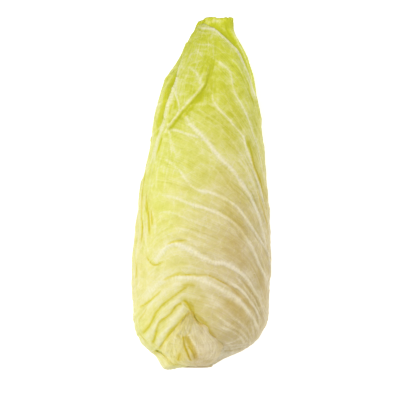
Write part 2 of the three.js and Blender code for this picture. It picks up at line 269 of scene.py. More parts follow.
def crease(points, step, groove, wide=0.9, fall=9.0, fade=(0.15, 0.15), shade=1.6):
    """A fold line. The left side of its travel stands up by step, or the right side by -step, and falls
    off over fall. groove is how far the line is cut in. Golden shade is painted along the line, and shade
    is how far painted shade spreads on its low side."""
    line = Line(points, reach=3 * fall)
    return {"draw": draw_crease, "line": line, "step": step, "groove": groove, "wide": wide, "fall": fall,
            "fade": fade, "shade": shade}


def mound(points, tall, wide, pale=0.0, fade=(0.25, 0.25)):
    """A soft swelling along a line, or a hollow where tall is below 0. pale paints it lighter: a painted
    highlight on the swelling, and a paler tone where tall is 0.
    """
    line = Line(points, reach=2.2 * wide)
    return {"draw": draw_mound, "line": line, "tall": tall, "wide": wide, "pale": pale, "fade": fade}


def shade_and_tone_band(points, strength, wide, gold=0.0, fade=(0.25, 0.25)):
    """A band of painted shade, golden like the painted shade of a fold by the given share; a few bands only
    give a richer tone.
    """
    line = Line(points, reach=2.2 * wide)
    return {"draw": draw_shade_and_tone_band, "line": line, "strength": strength, "wide": wide, "gold": gold, "fade": fade}


BEAD_STEP = 2.7  # mm between the small cross ridges of a rib
RIB_CLEARANCE = 14.0  # mm from a rib beyond which it no longer counts as near
BLISTER = 9.0  # mm from a rib at which the skin between ribs has swelled fully
BLISTER_FLOOR = 0.6  # mm that the skin beside a rib lies below the smooth sheet
COLOUR_MASKS = ("ribs", "creases", "halo", "deep")


def bell(distance, wide):
    return np.exp(-((distance / wide) ** 2))


def from_start_to_end(value, share):
    """What a rib's tall or wide is at a share of its length."""
    start, end = np.broadcast_to(value, 2)
    return start + (end - start) * share


def strengthen(canvas, mask, values):
    canvas[mask] = np.maximum(canvas[mask], values)


def draw_rib(mark, canvas, signed, share, strength):
    """A ridge, beaded across, between two shallow furrows. Its core is pale and palest on the beads, where a
    glint is painted, and a halo around it is pale too.
    """
    distance = np.abs(signed)
    patchy = canvas["patchy"]
    tall = from_start_to_end(mark["tall"], share)
    wide = from_start_to_end(mark["wide"], share) * (0.8 + 0.4 * patchy)
    turns = share * mark["line"].length / BEAD_STEP
    beads = 0.5 + 0.5 * np.sin(2 * math.pi * turns + canvas["uneven"])
    ridge = bell(distance, wide) * (0.75 + 0.5 * beads)
    canvas["height"] += strength * tall * (1.2 * ridge - 0.3 * bell(distance, 2.6 * wide))
    # the beads brighten the pale core: painted glints
    core = bell(distance, 0.7 * wide) * (0.1 + 0.55 * beads + 0.4 * patchy)
    strengthen(canvas, "ribs", strength * mark["pale"] * core)
    strengthen(canvas, "halo", strength * mark["pale"] * np.exp(-distance / (2.2 * wide)))
    clear = distance + RIB_CLEARANCE * (1 - strength * min(1, mark["pale"]))
    canvas["nearest_rib"] = np.minimum(canvas["nearest_rib"], clear)


def draw_crease(mark, canvas, signed, share, strength):
    """A step with a groove at its foot. Golden shade is painted along the groove, and painted shade spreads
    on the low side.
    """
    distance = np.abs(signed)
    signed = -signed if mark["step"] < 0 else signed
    lip = 0.5 * (1 + np.tanh(signed / 0.6)) * np.exp(-np.maximum(signed, 0) / mark["fall"])
    groove = bell(distance, mark["wide"])
    canvas["height"] += strength * (abs(mark["step"]) * lip - 0.6 * mark["groove"] * groove)
    # painted golden shade along the line of the fold
    thin = bell(distance, 1.1 * mark["wide"])
    strengthen(canvas, "creases", strength * thin * (0.7 + 0.5 * canvas["patchy"]))
    # painted shade on the low side of the step
    shaded = np.exp(np.where(signed < 0, signed, -3 * signed) / mark["shade"])
    strengthen(canvas, "deep", 0.8 * strength * shaded)


def draw_mound(mark, canvas, signed, share, strength):
    swell = strength * bell(signed, mark["wide"])
    canvas["height"] += mark["tall"] * swell
    # painted highlight along the swelling, or paler tone where it does not swell
    strengthen(canvas, "halo", mark["pale"] * swell)


def draw_shade_and_tone_band(mark, canvas, signed, share, strength):
    # painted shade along the band, partly golden
    band = strength * bell(signed, mark["wide"])
    strengthen(canvas, "deep", mark["strength"] * band)
    strengthen(canvas, "creases", mark["gold"] * band)


def draw(marks, s, angle):
    """Height in mm that the marks give, and the masks that colour it: ribs, painted golden shade along fold
    lines, the pale halos of ribs with the painted highlights of mounds, and painted shade with richer tone."""
    points = skin(s, angle)
    waver = 0.5 * noise(points, 9.0, 4.4) + 0.15 * noise(points, 3.0, 9.2)
    canvas = {name: np.zeros(s.shape) for name in ("height", *COLOUR_MASKS)}
    canvas["nearest_rib"] = np.full(s.shape, RIB_CLEARANCE)
    canvas["patchy"] = 0.5 + 0.5 * noise(points, 5.0, 6.1)
    canvas["uneven"] = 3.5 * noise(points, 6.0, 3.3)
    for mark in marks:
        distance, share, side = mark["line"].near(s, angle, points)
        fade_in, fade_out = np.maximum(mark["fade"], 1e-3)
        strength = smooth(0, fade_in, share) * smooth(1, 1 - fade_out, share)
        mark["draw"](mark, canvas, distance * side + waver, share, strength)
    height = canvas["height"] + smooth(0, BLISTER, canvas["nearest_rib"]) - BLISTER_FLOOR
    return height, {name: canvas[name] for name in COLOUR_MASKS}


# ---- Marks of the front leaf ---------------------------------------------------------------------

FRONT_RIBS = [
    # the long ribs that fan out from the lower right, from the highest to the lowest
    rib([[308, 132], [310, 114], [303, 89], [295, 71], [289, 62], [272, 57], [252, 41], [230, 30], [202, 16],
        [180, 4]], (0.35, 0.9), (1.1, 1.4), 0.8, (0.35, 0.2)),
    rib([[274, 88], [262, 81], [246, 63], [235, 50], [225, 47], [205, 37], [181, 25], [168, 15], [150, 2]],
        (0.5, 0.9), (1.2, 1.5), fade=(0.1, 0.2)),
    rib([[256, 118], [246, 109], [232, 92], [216, 76], [203, 62], [184, 45], [170, 36], [156, 29], [142, 21],
        [112, 6]], (0.8, 1.2), (2.0, 2.3), fade=(0.04, 0.2)),
    rib([[183, 20], [160, 8], [130, 0], [100, -4]], (0.5, 0.7), (1.2, 1.4), 0.8, (0.3, 0.2)),
    rib([[223, 143], [206, 117], [189, 99], [183, 79], [174, 61], [157, 43], [143, 26], [135, 17],
        [112, 10]], (0.3, 1.2), (1.1, 1.8), fade=(0.25, 0.15)),
    rib([[188, 150], [182, 122], [174, 98], [168, 80], [158, 62], [143, 47], [124, 31], [109, 10], [90, 6]],
        (0.3, 1.2), (1.2, 1.9), fade=(0.25, 0.15)),
    # the two ribs that arch over the base, and the shorter ones between them
    rib([[125, 133], [135, 123], [140, 117], [140, 111], [131, 94], [123, 80], [123, 71], [117, 55],
        [103, 39], [89, 24], [82, 18]], (1.0, 1.2), (2.5, 2.1), 1.1, (0.03, 0.15)),
    rib([[88, 158], [99, 139], [107, 126], [111, 114], [111, 103], [111, 95], [107, 85], [102, 74], [93, 57],
        [81, 41], [72, 26], [60, 12]], (0.5, 1.0), (3.2, 1.4), 0.9, (0.2, 0.15)),
    rib([[111, 78], [110, 70], [98, 49], [82, 28], [74, 20]], (0.5, 0.9), (1.2, 1.4), 0.8),
    rib([[116, 63], [107, 53], [99, 42], [83, 25]], (0.4, 0.8), (1.1, 1.4), 0.7),
    rib([[87, 74], [77, 58], [69, 42], [61, 28], [56, 18]], (0.4, 0.5), (1.3, 1.1), 0.3, (0.3, 0.2)),
    rib([[107, 67], [101, 52], [92, 43], [86, 33], [78, 27], [69, 24]], (0.6, 0.8), 1.2, 0.7),
    rib([[121, 30], [113, 19], [104, 13], [92, 12], [78, 14]], (0.6, 0.7), (1.3, 1.2), 0.7),
    rib([[118, 8], [92, 8], [74, 12], [60, 14], [46, 10]], (0.8, 0.5), (1.5, 1.2), 0.7, (0.25, 0.4)),
    rib([[105, 16], [84, 15], [66, 10], [48, 2]], (0.6, 0.5), (1.3, 1.2), 0.7, (0.3, 0.4)),
    rib([[96, 2], [74, 0], [54, -6], [40, -14]], (0.6, 0.5), (1.4, 1.2), 0.6, (0.3, 0.4)),
    rib([[84, 86], [80, 78], [72, 64], [66, 49], [60, 34], [55, 22], [50, 16], [45, 22]], (0.8, 0.6),
        (1.5, 1.2), 0.6, (0.3, 0.2)),
    rib([[69, 78], [67, 62], [62, 49], [58, 40], [54, 34], [50, 36]], (0.7, 0.5), (1.3, 1.0), 0.5,
        (0.3, 0.2)),
    # the foot of the leaf, around the right of the base
    rib([[47, 60], [53, 51], [58, 46], [61, 42]], (0.7, 0.6), 1.0, 0.6, (0.1, 0.3)),
    rib([[45, 58], [49, 46], [55, 32], [58, 24]], 0.6, (0.9, 1.0), 0.6, (0.1, 0.3)),
    rib([[43, 56], [45, 42], [50, 26], [54, 16]], 0.6, (0.9, 1.0), 0.6, (0.1, 0.3)),
    rib([[22, 56], [32, 50], [43, 46]], (0.5, 0.6), (1.2, 1.0), 0.8),
    rib([[20, 36], [32, 34], [42, 32]], (0.5, 0.6), (1.2, 1.0), 0.8),
    rib([[20, 14], [34, 16], [46, 18]], (0.5, 0.6), (1.2, 1.0), 0.8),
    rib([[38, 58], [42, 42], [48, 28], [56, 18]], 0.5, 1.1, 0.9, (0.1, 0.3)),
    mound([[34, 56], [34, 36], [40, 12]], 0.3, 7.0, 0.9),
]

FRONT_VEINS = [
    vein([[270, 70], [259, 64], [248, 55], [239, 47], [232, 46]], 0.7),
    vein([[236, 89], [244, 80], [238, 72], [223, 57], [202, 44], [188, 35]], 0.8),
    vein([[220, 61], [200, 45], [179, 32]], 0.8),
    vein([[216, 91], [197, 73], [178, 58]]),
    vein([[280, 74], [266, 69], [253, 61], [243, 53]]),
    vein([[166, 144], [168, 121], [161, 101], [147, 71]], 0.6),
    vein([[156, 119], [151, 101], [142, 84], [134, 68]]),
    vein([[189, 163], [173, 158], [158, 151], [143, 144], [125, 133]], 0.9),
    vein([[187, 162], [168, 169], [135, 168]], 0.8),
    vein([[194, 158], [180, 167], [161, 161], [141, 157], [119, 158]], 0.8),
    vein([[232, 136], [219, 139], [204, 141], [188, 140]], 0.6),
    vein([[232, 125], [214, 127], [197, 129], [175, 129]]),
    vein([[175, 142], [160, 135], [144, 132]], 0.6),
    vein([[239, 135], [230, 128], [222, 123], [213, 118]], 0.7),
    vein([[322, 106], [326, 94], [330, 92]]),
    vein([[257, 116], [261, 108], [262, 98], [262, 88], [260, 79], [255, 71]], 0.9, (0.1, 0.3)),
    vein([[335, 153], [331, 119], [330, 92], [330, 72]], 0.6),
]

# The leaf's upper left edge is folded over near the tip.
LAPEL_EDGE = [
    [240, 135], [244, 129], [249, 124], [254, 119], [259.5, 112.5], [266, 105], [272, 99.5], [276, 95.5],
    [279.5, 93.3], [284, 93], [291, 92], [299, 92], [306, 93],
]
LAPEL = [
    # the fold itself, with painted shade spreading below its edge, and the ribs on it
    crease(LAPEL_EDGE, 2.3, 0.5, fall=22, fade=(0.05, 0.42), shade=4.2),
    rib([[242, 136], [246, 131], [255, 121], [261, 114], [268, 107], [274, 101], [279, 96]], (0.3, 0.4),
        (0.9, 1.0), 0.7, (0.1, 0.05)),
    rib([[279, 144], [272, 132], [262, 124], [255, 122], [249, 126], [241, 135]], 0.6, 0.9, 0.7,
        (0.1, 0.05)),
    rib([[297, 133], [294, 122], [288, 108], [282, 102], [276, 99]], 0.3, (1.4, 1.8), 0.7, (0.3, 0.2)),
    rib([[303, 162], [292, 143], [281, 135], [272, 130], [262, 125]], 0.3, (0.9, 1.0), 0.7, (0.2, 0.3)),
    mound([[322, 110], [304, 130], [288, 122], [272, 118]], 0.0, 13.0, 0.3, (0.1, 0.2)),
    vein([[280, 133], [279, 118], [278, 105]], 0.35),
    vein([[270, 130], [270, 118], [269, 109]], 0.35),
    vein([[289, 138], [286, 122], [285, 108]], 0.35),
    vein([[312, 168], [308, 140], [310, 100]], 0.4),
    vein([[322, 150], [318, 120], [316, 90], [308, 66]], 0.35),
    vein([[298, 128], [300, 112], [300, 98]], 0.35),
    vein([[241, 136], [235, 131], [228, 129], [219, 125]], 0.9, (0.05, 0.3)),
    # the valley beside it: a hollow with painted shade, some of it golden
    shade_and_tone_band([[277, 93], [284, 92.5], [291, 91.5], [300, 91], [307, 92]], 0.9, 2.2, 0.4, (0.1, 0.4)),
    mound([[277, 91], [291, 90], [303, 91]], -0.8, 3.0),
    shade_and_tone_band([[290, 87], [278, 91], [268, 99], [258, 111]], 0.6, 4.5),
    shade_and_tone_band([[273, 95], [266, 101], [259, 108], [253, 114], [248, 120]], 1.0, 2.0, 0.75, (0.1, 0.2)),
    # its crumpled foot, with painted golden shade in the crumples, and the short rib that leaves it
    shade_and_tone_band([[266, 130], [261, 128], [256, 128]], 1.0, 1.3, 0.9),
    shade_and_tone_band([[263, 133], [257, 134], [251, 135]], 0.9, 1.4, 0.7),
    shade_and_tone_band([[237, 142], [225, 144], [215, 148]], 0.9, 1.2, 0.6),
    mound([[246, 134], [241, 136], [237, 139]], 1.1, 1.5, 0.7, (0.1, 0.1)),
    mound([[238, 143], [228, 146], [216, 146]], 0.7, 1.6),
    crease([[235, 142], [226, 144], [218, 148]], 0.5, 0.7, 1.2, 6),
    rib([[240, 136], [240, 127], [238, 116], [233, 97]], (0.4, 0.5), (0.9, 1.1), fade=(0.12, 0.1)),
]

LEFT_MARGIN = [
    # the thick edge rib and the pleats beside it
    rib([[286, 136], [272, 136], [261, 138], [251, 141], [239, 146], [226, 153], [208, 157]], (0.9, 0.7),
        (3.0, 2.8), 0.8, (0.02, 0.1)),
    mound([[226, 152], [200, 160], [170, 166], [130, 170]], 0.8, 2.6),
    mound([[210, 172], [180, 177], [150, 181], [110, 183]], 0.9, 2.4),
    mound([[196, 150], [170, 153], [140, 158], [113, 158]], 0.7, 3.0),
    mound([[160, 186], [130, 189], [106, 187]], 0.9, 2.6),
    mound([[102, 182], [92, 178], [80, 172]], -1.6, 5.0),
    crease([[187, 156], [177, 150], [158, 142], [147, 140]], -0.4, 0.6, fall=8),
    crease([[206, 166], [192, 164], [176, 160], [160, 154], [140, 152]], -0.4, 0.5, fall=8),
    crease([[172, 142], [157, 138]], -0.2, 0.4, 0.8, 6),
    # painted golden shade along the fold lines beside the edge rib
    shade_and_tone_band([[180, 155], [167, 146], [155, 142], [146, 138]], 0.8, 1.1, 0.6),
    crease([[118, 166], [104, 164], [92, 167]], 0.7, 0.4, 0.7, 4, (0.3, 0.3), 0.8),
    crease([[132, 160], [119, 158], [108, 160]], -0.6, 0.4, 0.7, 4, (0.3, 0.3), 0.8),
    rib([[150, 163], [134, 161], [118, 162], [98, 164]], 0.4, 0.9, 0.6, (0.3, 0.3)),
]

# The rib that crosses the tip and runs down the right edge, and the folds beside it with their painted golden
# shade.
RIGHT_MARGIN = [
    rib([[335, 158], [336, 129], [334, 87], [330, 72], [320, 50], [312, 40], [295, 31], [276, 21],
        [263, 18]], (0.4, 0.5), (1.3, 2.2), fade=(0.1, 0.1)),
    crease([[289, 41], [282, 36], [272, 32], [263, 27]], 0.3, 0.5, fall=6),
    crease([[235, 46], [214, 38], [194, 27], [178, 22], [160, 12]], -0.7, 0.7, fall=8, shade=2.4),
    shade_and_tone_band([[240, 47], [219, 40], [209, 36], [201, 30], [187, 20], [176, 11]], 1.0, 2.2, 1.0, (0.2, 0.5)),
    shade_and_tone_band([[228, 40], [214, 35], [203, 28], [192, 20], [180, 9]], 0.0, 4.5, 0.4, (0.2, 0.3)),
    crease([[192, 37], [182, 32], [173, 27], [164, 22], [154, 12]], -0.4, 0.5, 0.7, 5, shade=1.2),
    shade_and_tone_band([[192, 37], [182, 32], [173, 27], [164, 22], [154, 12]], 0.8, 1.2, 0.9, (0.2, 0.2)),
]

LOW_FOLDS = [
    # fold lines beside the flap of the base, and up the arch of the ribs over it, with painted golden shade
    # along them
    crease([[109, 121], [113, 108], [113, 99], [111, 80], [100, 60], [90, 47]], -1.0, 0.6, 0.5, 10,
        (0.2, 0.4), 0.9),
    crease([[132, 143], [124, 135], [123, 129], [126, 120]], -0.3, 0.6, 0.5, 7, (0.2, 0.3), 1.2),
    crease([[139, 122], [142, 114], [143, 101]], -0.4, 0.5, 0.7, 7, (0.3, 0.3)),
    shade_and_tone_band([[108, 125], [112, 114], [116, 103]], 0.8, 1.2, 0.7, (0.3, 0.3)),
    crease([[103, 99], [101, 104], [92, 117], [84, 128], [70, 140], [63, 159]], -0.8, 0.8, 0.7, 7,
        (0.05, 0.15)),
    crease([[101, 122], [95, 132], [90, 142], [87, 154]], -0.5, 0.6, 0.7, 6, (0.2, 0.2)),
    crease([[90, 104], [87, 110], [80, 116], [74, 126], [66, 132], [57, 139], [51, 150]], -0.8, 0.8, 0.7, 6,
        (0.05, 0.1)),
    crease([[80, 98], [74, 104], [60, 118], [54, 126], [44, 146]], -0.8, 0.6, 0.8, 5, (0.05, 0.1)),
    crease([[91, 105], [89, 102], [85, 99], [79, 97], [74, 95]], -1.8, 0.8, 1.1, 4, (0.1, 0.05), 2.6),
    # the soft pleats between them
    mound([[38, 62], [41, 42], [47, 22]], -1.0, 6.0),
    mound([[79, 149], [96, 124], [103, 113], [108, 103], [107, 90], [98, 68], [80, 44], [68, 24]], 1.3, 4.2,
        0.5, (0.1, 0.3)),
    mound([[56, 156], [69, 133], [83, 121], [91, 111], [96, 104], [95, 96], [83, 80], [75, 70]], 0.9, 3.4,
        0.45, (0.15, 0.4)),
    mound([[49, 143], [65, 121], [75, 112], [83, 106], [87, 102]], 1.7, 3.2, 0.5, (0.1, 0.02)),
    mound([[93, 66], [84, 56], [74, 46]], 1.4, 13.0),
    mound([[101, 88], [93, 80], [82, 72]], 0.3, 4.0, 0.5),
    # the leaf's line against the flap of the base: painted golden shade along it, with no step
    crease([[78, 96], [74, 93], [70, 89], [66, 84], [59, 79], [53, 71], [50, 65], [42, 58]], 0.0, 0.0,
        fall=3, fade=(0.05, 0.1), shade=1.8),
    crease([[79, 99], [74, 105], [68, 111], [62, 118], [56, 124], [49, 135], [44, 150]], 0.0, 0.0, 1.2, 3,
        (0.05, 0.1), 1.2),
    # golden painted shade in the pleats
    shade_and_tone_band([[103, 106], [105, 100], [104, 93]], 0.9, 1.7, 0.35),
    shade_and_tone_band([[87, 97], [90, 92], [89, 86]], 0.35, 3.0, 0.15),
    shade_and_tone_band([[92, 102], [86, 97], [79, 95], [75, 90], [68, 83], [60, 76], [54, 69]], 1.0, 1.7, 0.3,
        (0.1, 0.1)),
    shade_and_tone_band([[66, 164], [61, 158], [56, 155]], 0.9, 1.2, 0.8),
    shade_and_tone_band([[75, 158], [83, 144], [88, 138]], 0.7, 1.1, 0.5),
    shade_and_tone_band([[64, 159], [69, 145], [75, 137]], 0.6, 1.1, 0.5),
]

# Painted shade between the ribs.
VALLEYS = [
    shade_and_tone_band([[270, 95], [256, 84], [245, 74], [231, 64], [214, 54]], 0.65, 7.0),
    shade_and_tone_band([[290, 66], [278, 68], [266, 66], [251, 58], [232, 49]], 0.75, 6.0),
    shade_and_tone_band([[212, 84], [200, 72], [186, 60], [170, 50]], 0.6, 7.0),
    shade_and_tone_band([[180, 76], [168, 66], [155, 56], [140, 48]], 0.75, 7.0),
    shade_and_tone_band([[150, 70], [139, 62], [129, 56], [119, 49]], 0.4, 4.0, 0.15),
    shade_and_tone_band([[138, 80], [134, 69], [127, 60], [119, 51]], 0.3, 3.0, 0.15),
    shade_and_tone_band([[217, 28], [200, 22], [183, 18], [166, 16]], 0.5, 3.0),
    shade_and_tone_band([[94, 72], [86, 60], [78, 48], [69, 36]], 0.8, 4.4, fade=(0.2, 0.3)),
    shade_and_tone_band([[76, 64], [69, 55], [60, 44]], 0.6, 4.5, fade=(0.2, 0.2)),
    shade_and_tone_band([[106, 70], [99, 59], [92, 48], [83, 34]], 0.9, 1.6, 0.2),
    shade_and_tone_band([[112, 54], [100, 40], [88, 24]], 0.7, 3.0),
    shade_and_tone_band([[282, 60], [276, 54], [266, 46]], 0.6, 5.0),
    shade_and_tone_band([[240, 92], [235, 84], [226, 76]], 0.6, 5.0),
    shade_and_tone_band([[197, 112], [192, 104], [185, 94]], 0.5, 5.0),
    shade_and_tone_band([[186, 80], [178, 71], [168, 63]], 0.5, 5.0),
    shade_and_tone_band([[124, 40], [110, 26], [96, 12]], 0.6, 4.0),
]

# ---- Marks of the other leaves and flaps --------------------------------------------------------

TIP_MARKS = [
    rib([[16, 30], [180, 40], [330, 50]], (1.8, 0.4), (5.5, 1.4), fade=(0.0, 0.15)),
    rib([[339, 121], [342, 86], [341, 54]], 0.6, 1.3, 0.6),
    rib([[343, 30], [330, 27], [310, 22], [280, 12], [240, 6]], 0.5, 1.2, 0.7),
    rib([[343, 10], [325, 8], [300, 2], [260, -8]], 0.5, 1.2, 0.7),
    crease([[340, 175], [341, 149], [341, 127]], -0.5, 0.8, 1.0, 5),
    crease([[345, 70], [338, 54], [330, 40], [318, 32]], 0.5, 0.6, 1.0, 5),
    mound([[339, 122], [337, 95], [332, 65], [322, 45], [313, 39], [297, 27]], -1.2, 3.0),
    mound([[347, 20], [348, 60], [348, 110], [346, 150], [344, 176]], 1.3, 6.0, fade=(0.1, 0.02)),
    mound([[348, 80], [348, 115], [347, 150], [345, 172]], 2.2, 6.0, fade=(0.3, 0.3)),
    mound([[342, 2], [346, 12]], 2.2, 3.0, fade=(0.0, 0.0)),
    mound([[339, 130], [339, 145], [338, 158]], 0.0, 5.0, 0.7),
    # painted golden shade in the recess beside the rib
    shade_and_tone_band([[339, 122], [337, 95], [332, 65], [322, 44], [313, 37], [306, 31], [290, 21]], 1.0, 3.4, 0.8,
        (0.1, 0.1)),
]

# The hollow of leaf_left beside the folded-over edge, with painted golden shade in it, and its blisters.
SHOULDER_MARKS = [
    mound([[292, 144], [282, 141], [270, 143], [261, 147], [253, 150], [242, 156], [230, 161]], -1.2, 2.2,
        fade=(0.05, 0.3)),
    shade_and_tone_band([[294, 146], [284, 146], [272, 149], [261, 152], [253, 155], [242, 160], [230, 164]], 1.0, 3.2,
        1.0, (0.02, 0.4)),
    mound([[291, 157], [285, 166], [279, 168]], 1.4, 3.0),
    mound([[268, 165], [262, 168], [256, 165]], 0.9, 2.6),
    mound([[314, 168], [304, 165], [296, 162]], -1.4, 5.0),
]

SIDE_FLAP_MARKS = [
    rib([[16, 190], [32, 192], [48, 196]], (1.2, 0.5), (4.0, 1.6), 0.7, (0.0, 0.2)),
    rib([[20, 165], [32, 164], [42, 166]], (0.5, 0.4), (1.5, 1.2), 0.6, (0.2, 0.3)),
    rib([[20, 218], [32, 220], [42, 218]], (0.5, 0.4), (1.5, 1.2), 0.6, (0.2, 0.3)),
]

# base_flap_centre: its folded point is at s 82, and its fold lines run down from there. Most of its bands are
# painted shade beside the folds and along its seams.
FLAP_MARKS = [
    mound([[82, 98], [76, 103], [68, 111], [56, 124], [44, 146]], -0.6, 2.6, fade=(0.0, 0.1)),
    shade_and_tone_band([[80, 98], [76, 103], [68, 111], [56, 124], [44, 146]], 0.7, 1.3, 0.6, (0.0, 0.1)),
    crease([[60, 105], [57, 104], [48, 104], [38, 102], [28, 94]], -1.4, 0.9, 1.0, 7, (0.1, 0.15), 1.8),
    crease([[50, 101], [42, 96], [31, 90]], -0.6, 0.8, 1.1, 4, (0.15, 0.2)),
    shade_and_tone_band([[60, 103], [49, 97], [38, 92], [29, 88]], 1.0, 2.6, 0.55, (0.1, 0.2)),
    shade_and_tone_band([[74, 97], [65, 97], [58, 101], [55, 105]], 0.5, 0.9, 0.25, (0.3, 0.2)),
    shade_and_tone_band([[83, 97], [77, 94], [71, 89], [66, 84]], 0.9, 1.8, 0.7, (0.0, 0.3)),
    mound([[76, 99], [68, 103], [60, 108]], 0.3, 3.0, 0.3, (0.1, 0.2)),
    shade_and_tone_band([[82, 98], [74, 101], [66, 105], [58, 110]], 0.0, 4.5, 0.3, (0.0, 0.3)),
    shade_and_tone_band([[82, 97], [77, 94], [72, 90]], 0.0, 2.4, 0.9, (0.0, 0.2)),
    shade_and_tone_band([[61, 112], [58, 108], [54, 104]], 0.7, 1.4, 0.2),
    mound([[71, 96], [62, 92], [55, 83], [47, 75]], 0.2, 5.0, 0.6, (0.1, 0.2)),
    shade_and_tone_band([[24, 112], [23, 91], [24, 72]], 0.25, 2.4, 0.1),
    crease([[46, 112], [39, 115], [28, 121]], -0.6, 0.3, 1.8, 6, (0.4, 0.3), 2.6),
    shade_and_tone_band([[42, 146], [33, 137], [26, 127], [22, 115]], 0.7, 2.0, 0.3),
    mound([[56, 122], [46, 130], [38, 138]], 0.7, 3.0, 0.3),
    vein([[58, 114], [47, 122], [36, 134]]),
    rib([[69, 102], [57, 97], [46, 90], [31, 84]], (0.5, 0.4), (1.6, 1.3), 0.8),
    rib([[60, 111], [49, 117], [36, 124]], (0.5, 0.4), (1.4, 1.2), 0.7),
    rib([[28, 70], [38, 68], [46, 68], [54, 72]], (0.4, 0.3), (1.6, 1.2), 0.6),
    rib([[28, 130], [36, 132], [45, 132]], (0.4, 0.3), (1.3, 1.1), 0.6),
    mound([[76, 93], [67, 86], [56, 75], [47, 65]], 0.5, 3.0, 0.5),
    mound([[62, 88], [52, 80], [42, 74], [32, 70]], 0.5, 6.0, 0.5),
    shade_and_tone_band([[58, 112], [48, 119], [38, 126], [27, 130]], 0.5, 6.0, fade=(0.3, 0.1)),
    shade_and_tone_band([[62, 104], [52, 105], [42, 108], [34, 110]], 0.45, 3.0, 0.1),
    mound([[52, 92], [44, 84], [38, 76], [32, 66]], 0.3, 5.0, 0.5),
    shade_and_tone_band([[44, 112], [34, 108], [24, 104]], 0.6, 3.0),
    shade_and_tone_band([[46, 94], [36, 88], [26, 84]], 0.4, 3.0),
    shade_and_tone_band([[30, 76], [27, 64], [26, 52]], 0.5, 4.0),
]


# ---- Leaves ------------------------------------------------------------------------------------

LAMINA = 0.75  # mm, a leaf's thickness away from its midrib
MIDRIB_SPREAD = 14.0  # degrees
TIP_ROUNDNESS = 2.4
INNER_STEP = 3  # the inner face of a leaf uses every third row and column of its outer face
MM_PER_DEGREE = 0.87  # around the middle of the head
GREEN_BY_S = [[0, 0.15], [50, 0.15], [110, 0.12], [170, 0.3], [230, 0.58], [290, 0.85], [350, 1.0]]
# How far the ribs of the front leaf rise in s, by angle: over most of the head, and near its base.
RIB_RISE_HIGH = [[-60, -60], [20, 0], [45, 33], [70, 52], [95, 66], [120, 76], [150, 82], [200, 86]]
RIB_RISE_LOW = [[-60, -40], [20, 0], [45, 26], [70, 38], [95, 44], [110, 45], [126, 38], [146, 26], [200, 10]]


def flow_across(s, angle, across):
    """Fine lines of most leaves run along s."""
    return across * 60, np.zeros(s.shape)


def flow_front(s, angle, across):
    """A number that stays the same along the ribs of the front leaf, so fine lines can follow them, and
    how far the fine lines run straight up the head instead: on its left side and near the tip."""
    high = smooth(100, 230, s)
    rise = high * curve(RIB_RISE_HIGH, angle) + (1 - high) * curve(RIB_RISE_LOW, angle)
    left_side = smooth(132, 146, angle) * smooth(98, 112, s)
    near_tip = smooth(256, 268, s) * smooth(74, 86, angle)
    return s - rise * (0.5 + 0.5 * smooth(40, 110, s)), np.maximum(left_side, near_tip)


LEAF_DEFAULTS = {
    "round": 14, "wave": 1.5, "wave_length": 11.0,  # mm that the tip is rounded by, and the wavy edges
    "heavy": 2.2, "depth": 0.0, "gap": 0.6,  # mm: extra midrib thickness, least depth, and room under it
    "pressed": 0.0,  # 1 where the edges are pressed down onto the leaf below
    "marks": [], "flow": flow_across, "fibrous": lambda angle: 0.15,
    # shade scales the leaf's colour as painted light; the golden edge paints golden shade along its edges
    "shade": 1.0, "paler": 0.0, "golden_edge": 0.0, "greener": 0.0, "green_tip": 0.0, "warmer": 0.0,
}


def leaf(name, reach, right, left, rib_angles, slot=None, **more):
    """One leaf: how far it reaches in s, its edges as [s, angle] points, its midrib's angle at the foot and
    at the tip, and whatever departs from the defaults."""
    made = {**LEAF_DEFAULTS, "name": name, "slot": slot or name, **more}
    made.update(reach=reach, right=right, left=left, rib=rib_angles)
    if "pairs" in made:
        made["marks"] = pinnate(made, made["pairs"]) + made["marks"]
    return made


SIDE_RIB = (0.9, 1.2)  # how tall and how wide a side rib starts, in mm


def pinnate(leaf, pairs):
    """A midrib, and side ribs that leave it in pairs and lean towards the tip."""
    tall, wide = SIDE_RIB
    foot, tip = leaf["rib"]
    reach = leaf["reach"]
    middle = [[LEAF_START, foot], [(LEAF_START + reach) / 2, (foot + tip) / 2], [reach - 8, tip]]
    marks = [rib(middle, (1.8, 0.6), (5.5, 1.4), 0.8, (0.0, 0.15))]
    for k in range(pairs):
        start = LEAF_START + 14 + (reach - LEAF_START - 50) * k / pairs
        run = min(max(0.4 * (reach - start), 26), 84)
        for edge in ("right", "left"):
            wander = 9 * math.sin(2.3 * k + (1 if edge == "left" else 4))
            places = []
            for share, out in ((0, 0), (0.3, 0.42), (0.62, 0.72), (1, 0.94)):
                s = start + run * share + wander * out
                centre = foot + (tip - foot) * (s - LEAF_START) / (reach - LEAF_START)
                places.append([s, centre + out * (curve(leaf[edge], s) - centre)])
            pale = 0.6 + 0.2 * math.sin(1.7 * k)
            marks.append(rib(places, (tall, 0.5 * tall), (wide, 0.75 * wide), pale, (0.1, 0.4)))
    return marks


def leaf_places(leaf, across, along):
    """(s, angle) of a leaf's own places: across runs from its right edge, -1, to its left edge, 1."""
    end = leaf["reach"] - leaf["round"] * np.abs(across) ** TIP_ROUNDNESS
    s = LEAF_START + (end - LEAF_START) * along
    right, left = curve(leaf["right"], s), curve(leaf["left"], s)
    wave = leaf["wave"] * noise(np.stack([s, across * 9], axis=-1), leaf["wave_length"], 3.7)
    angle = right + (left - right) * (across + 1) / 2 + wave * np.abs(across) ** 5
    return s, angle


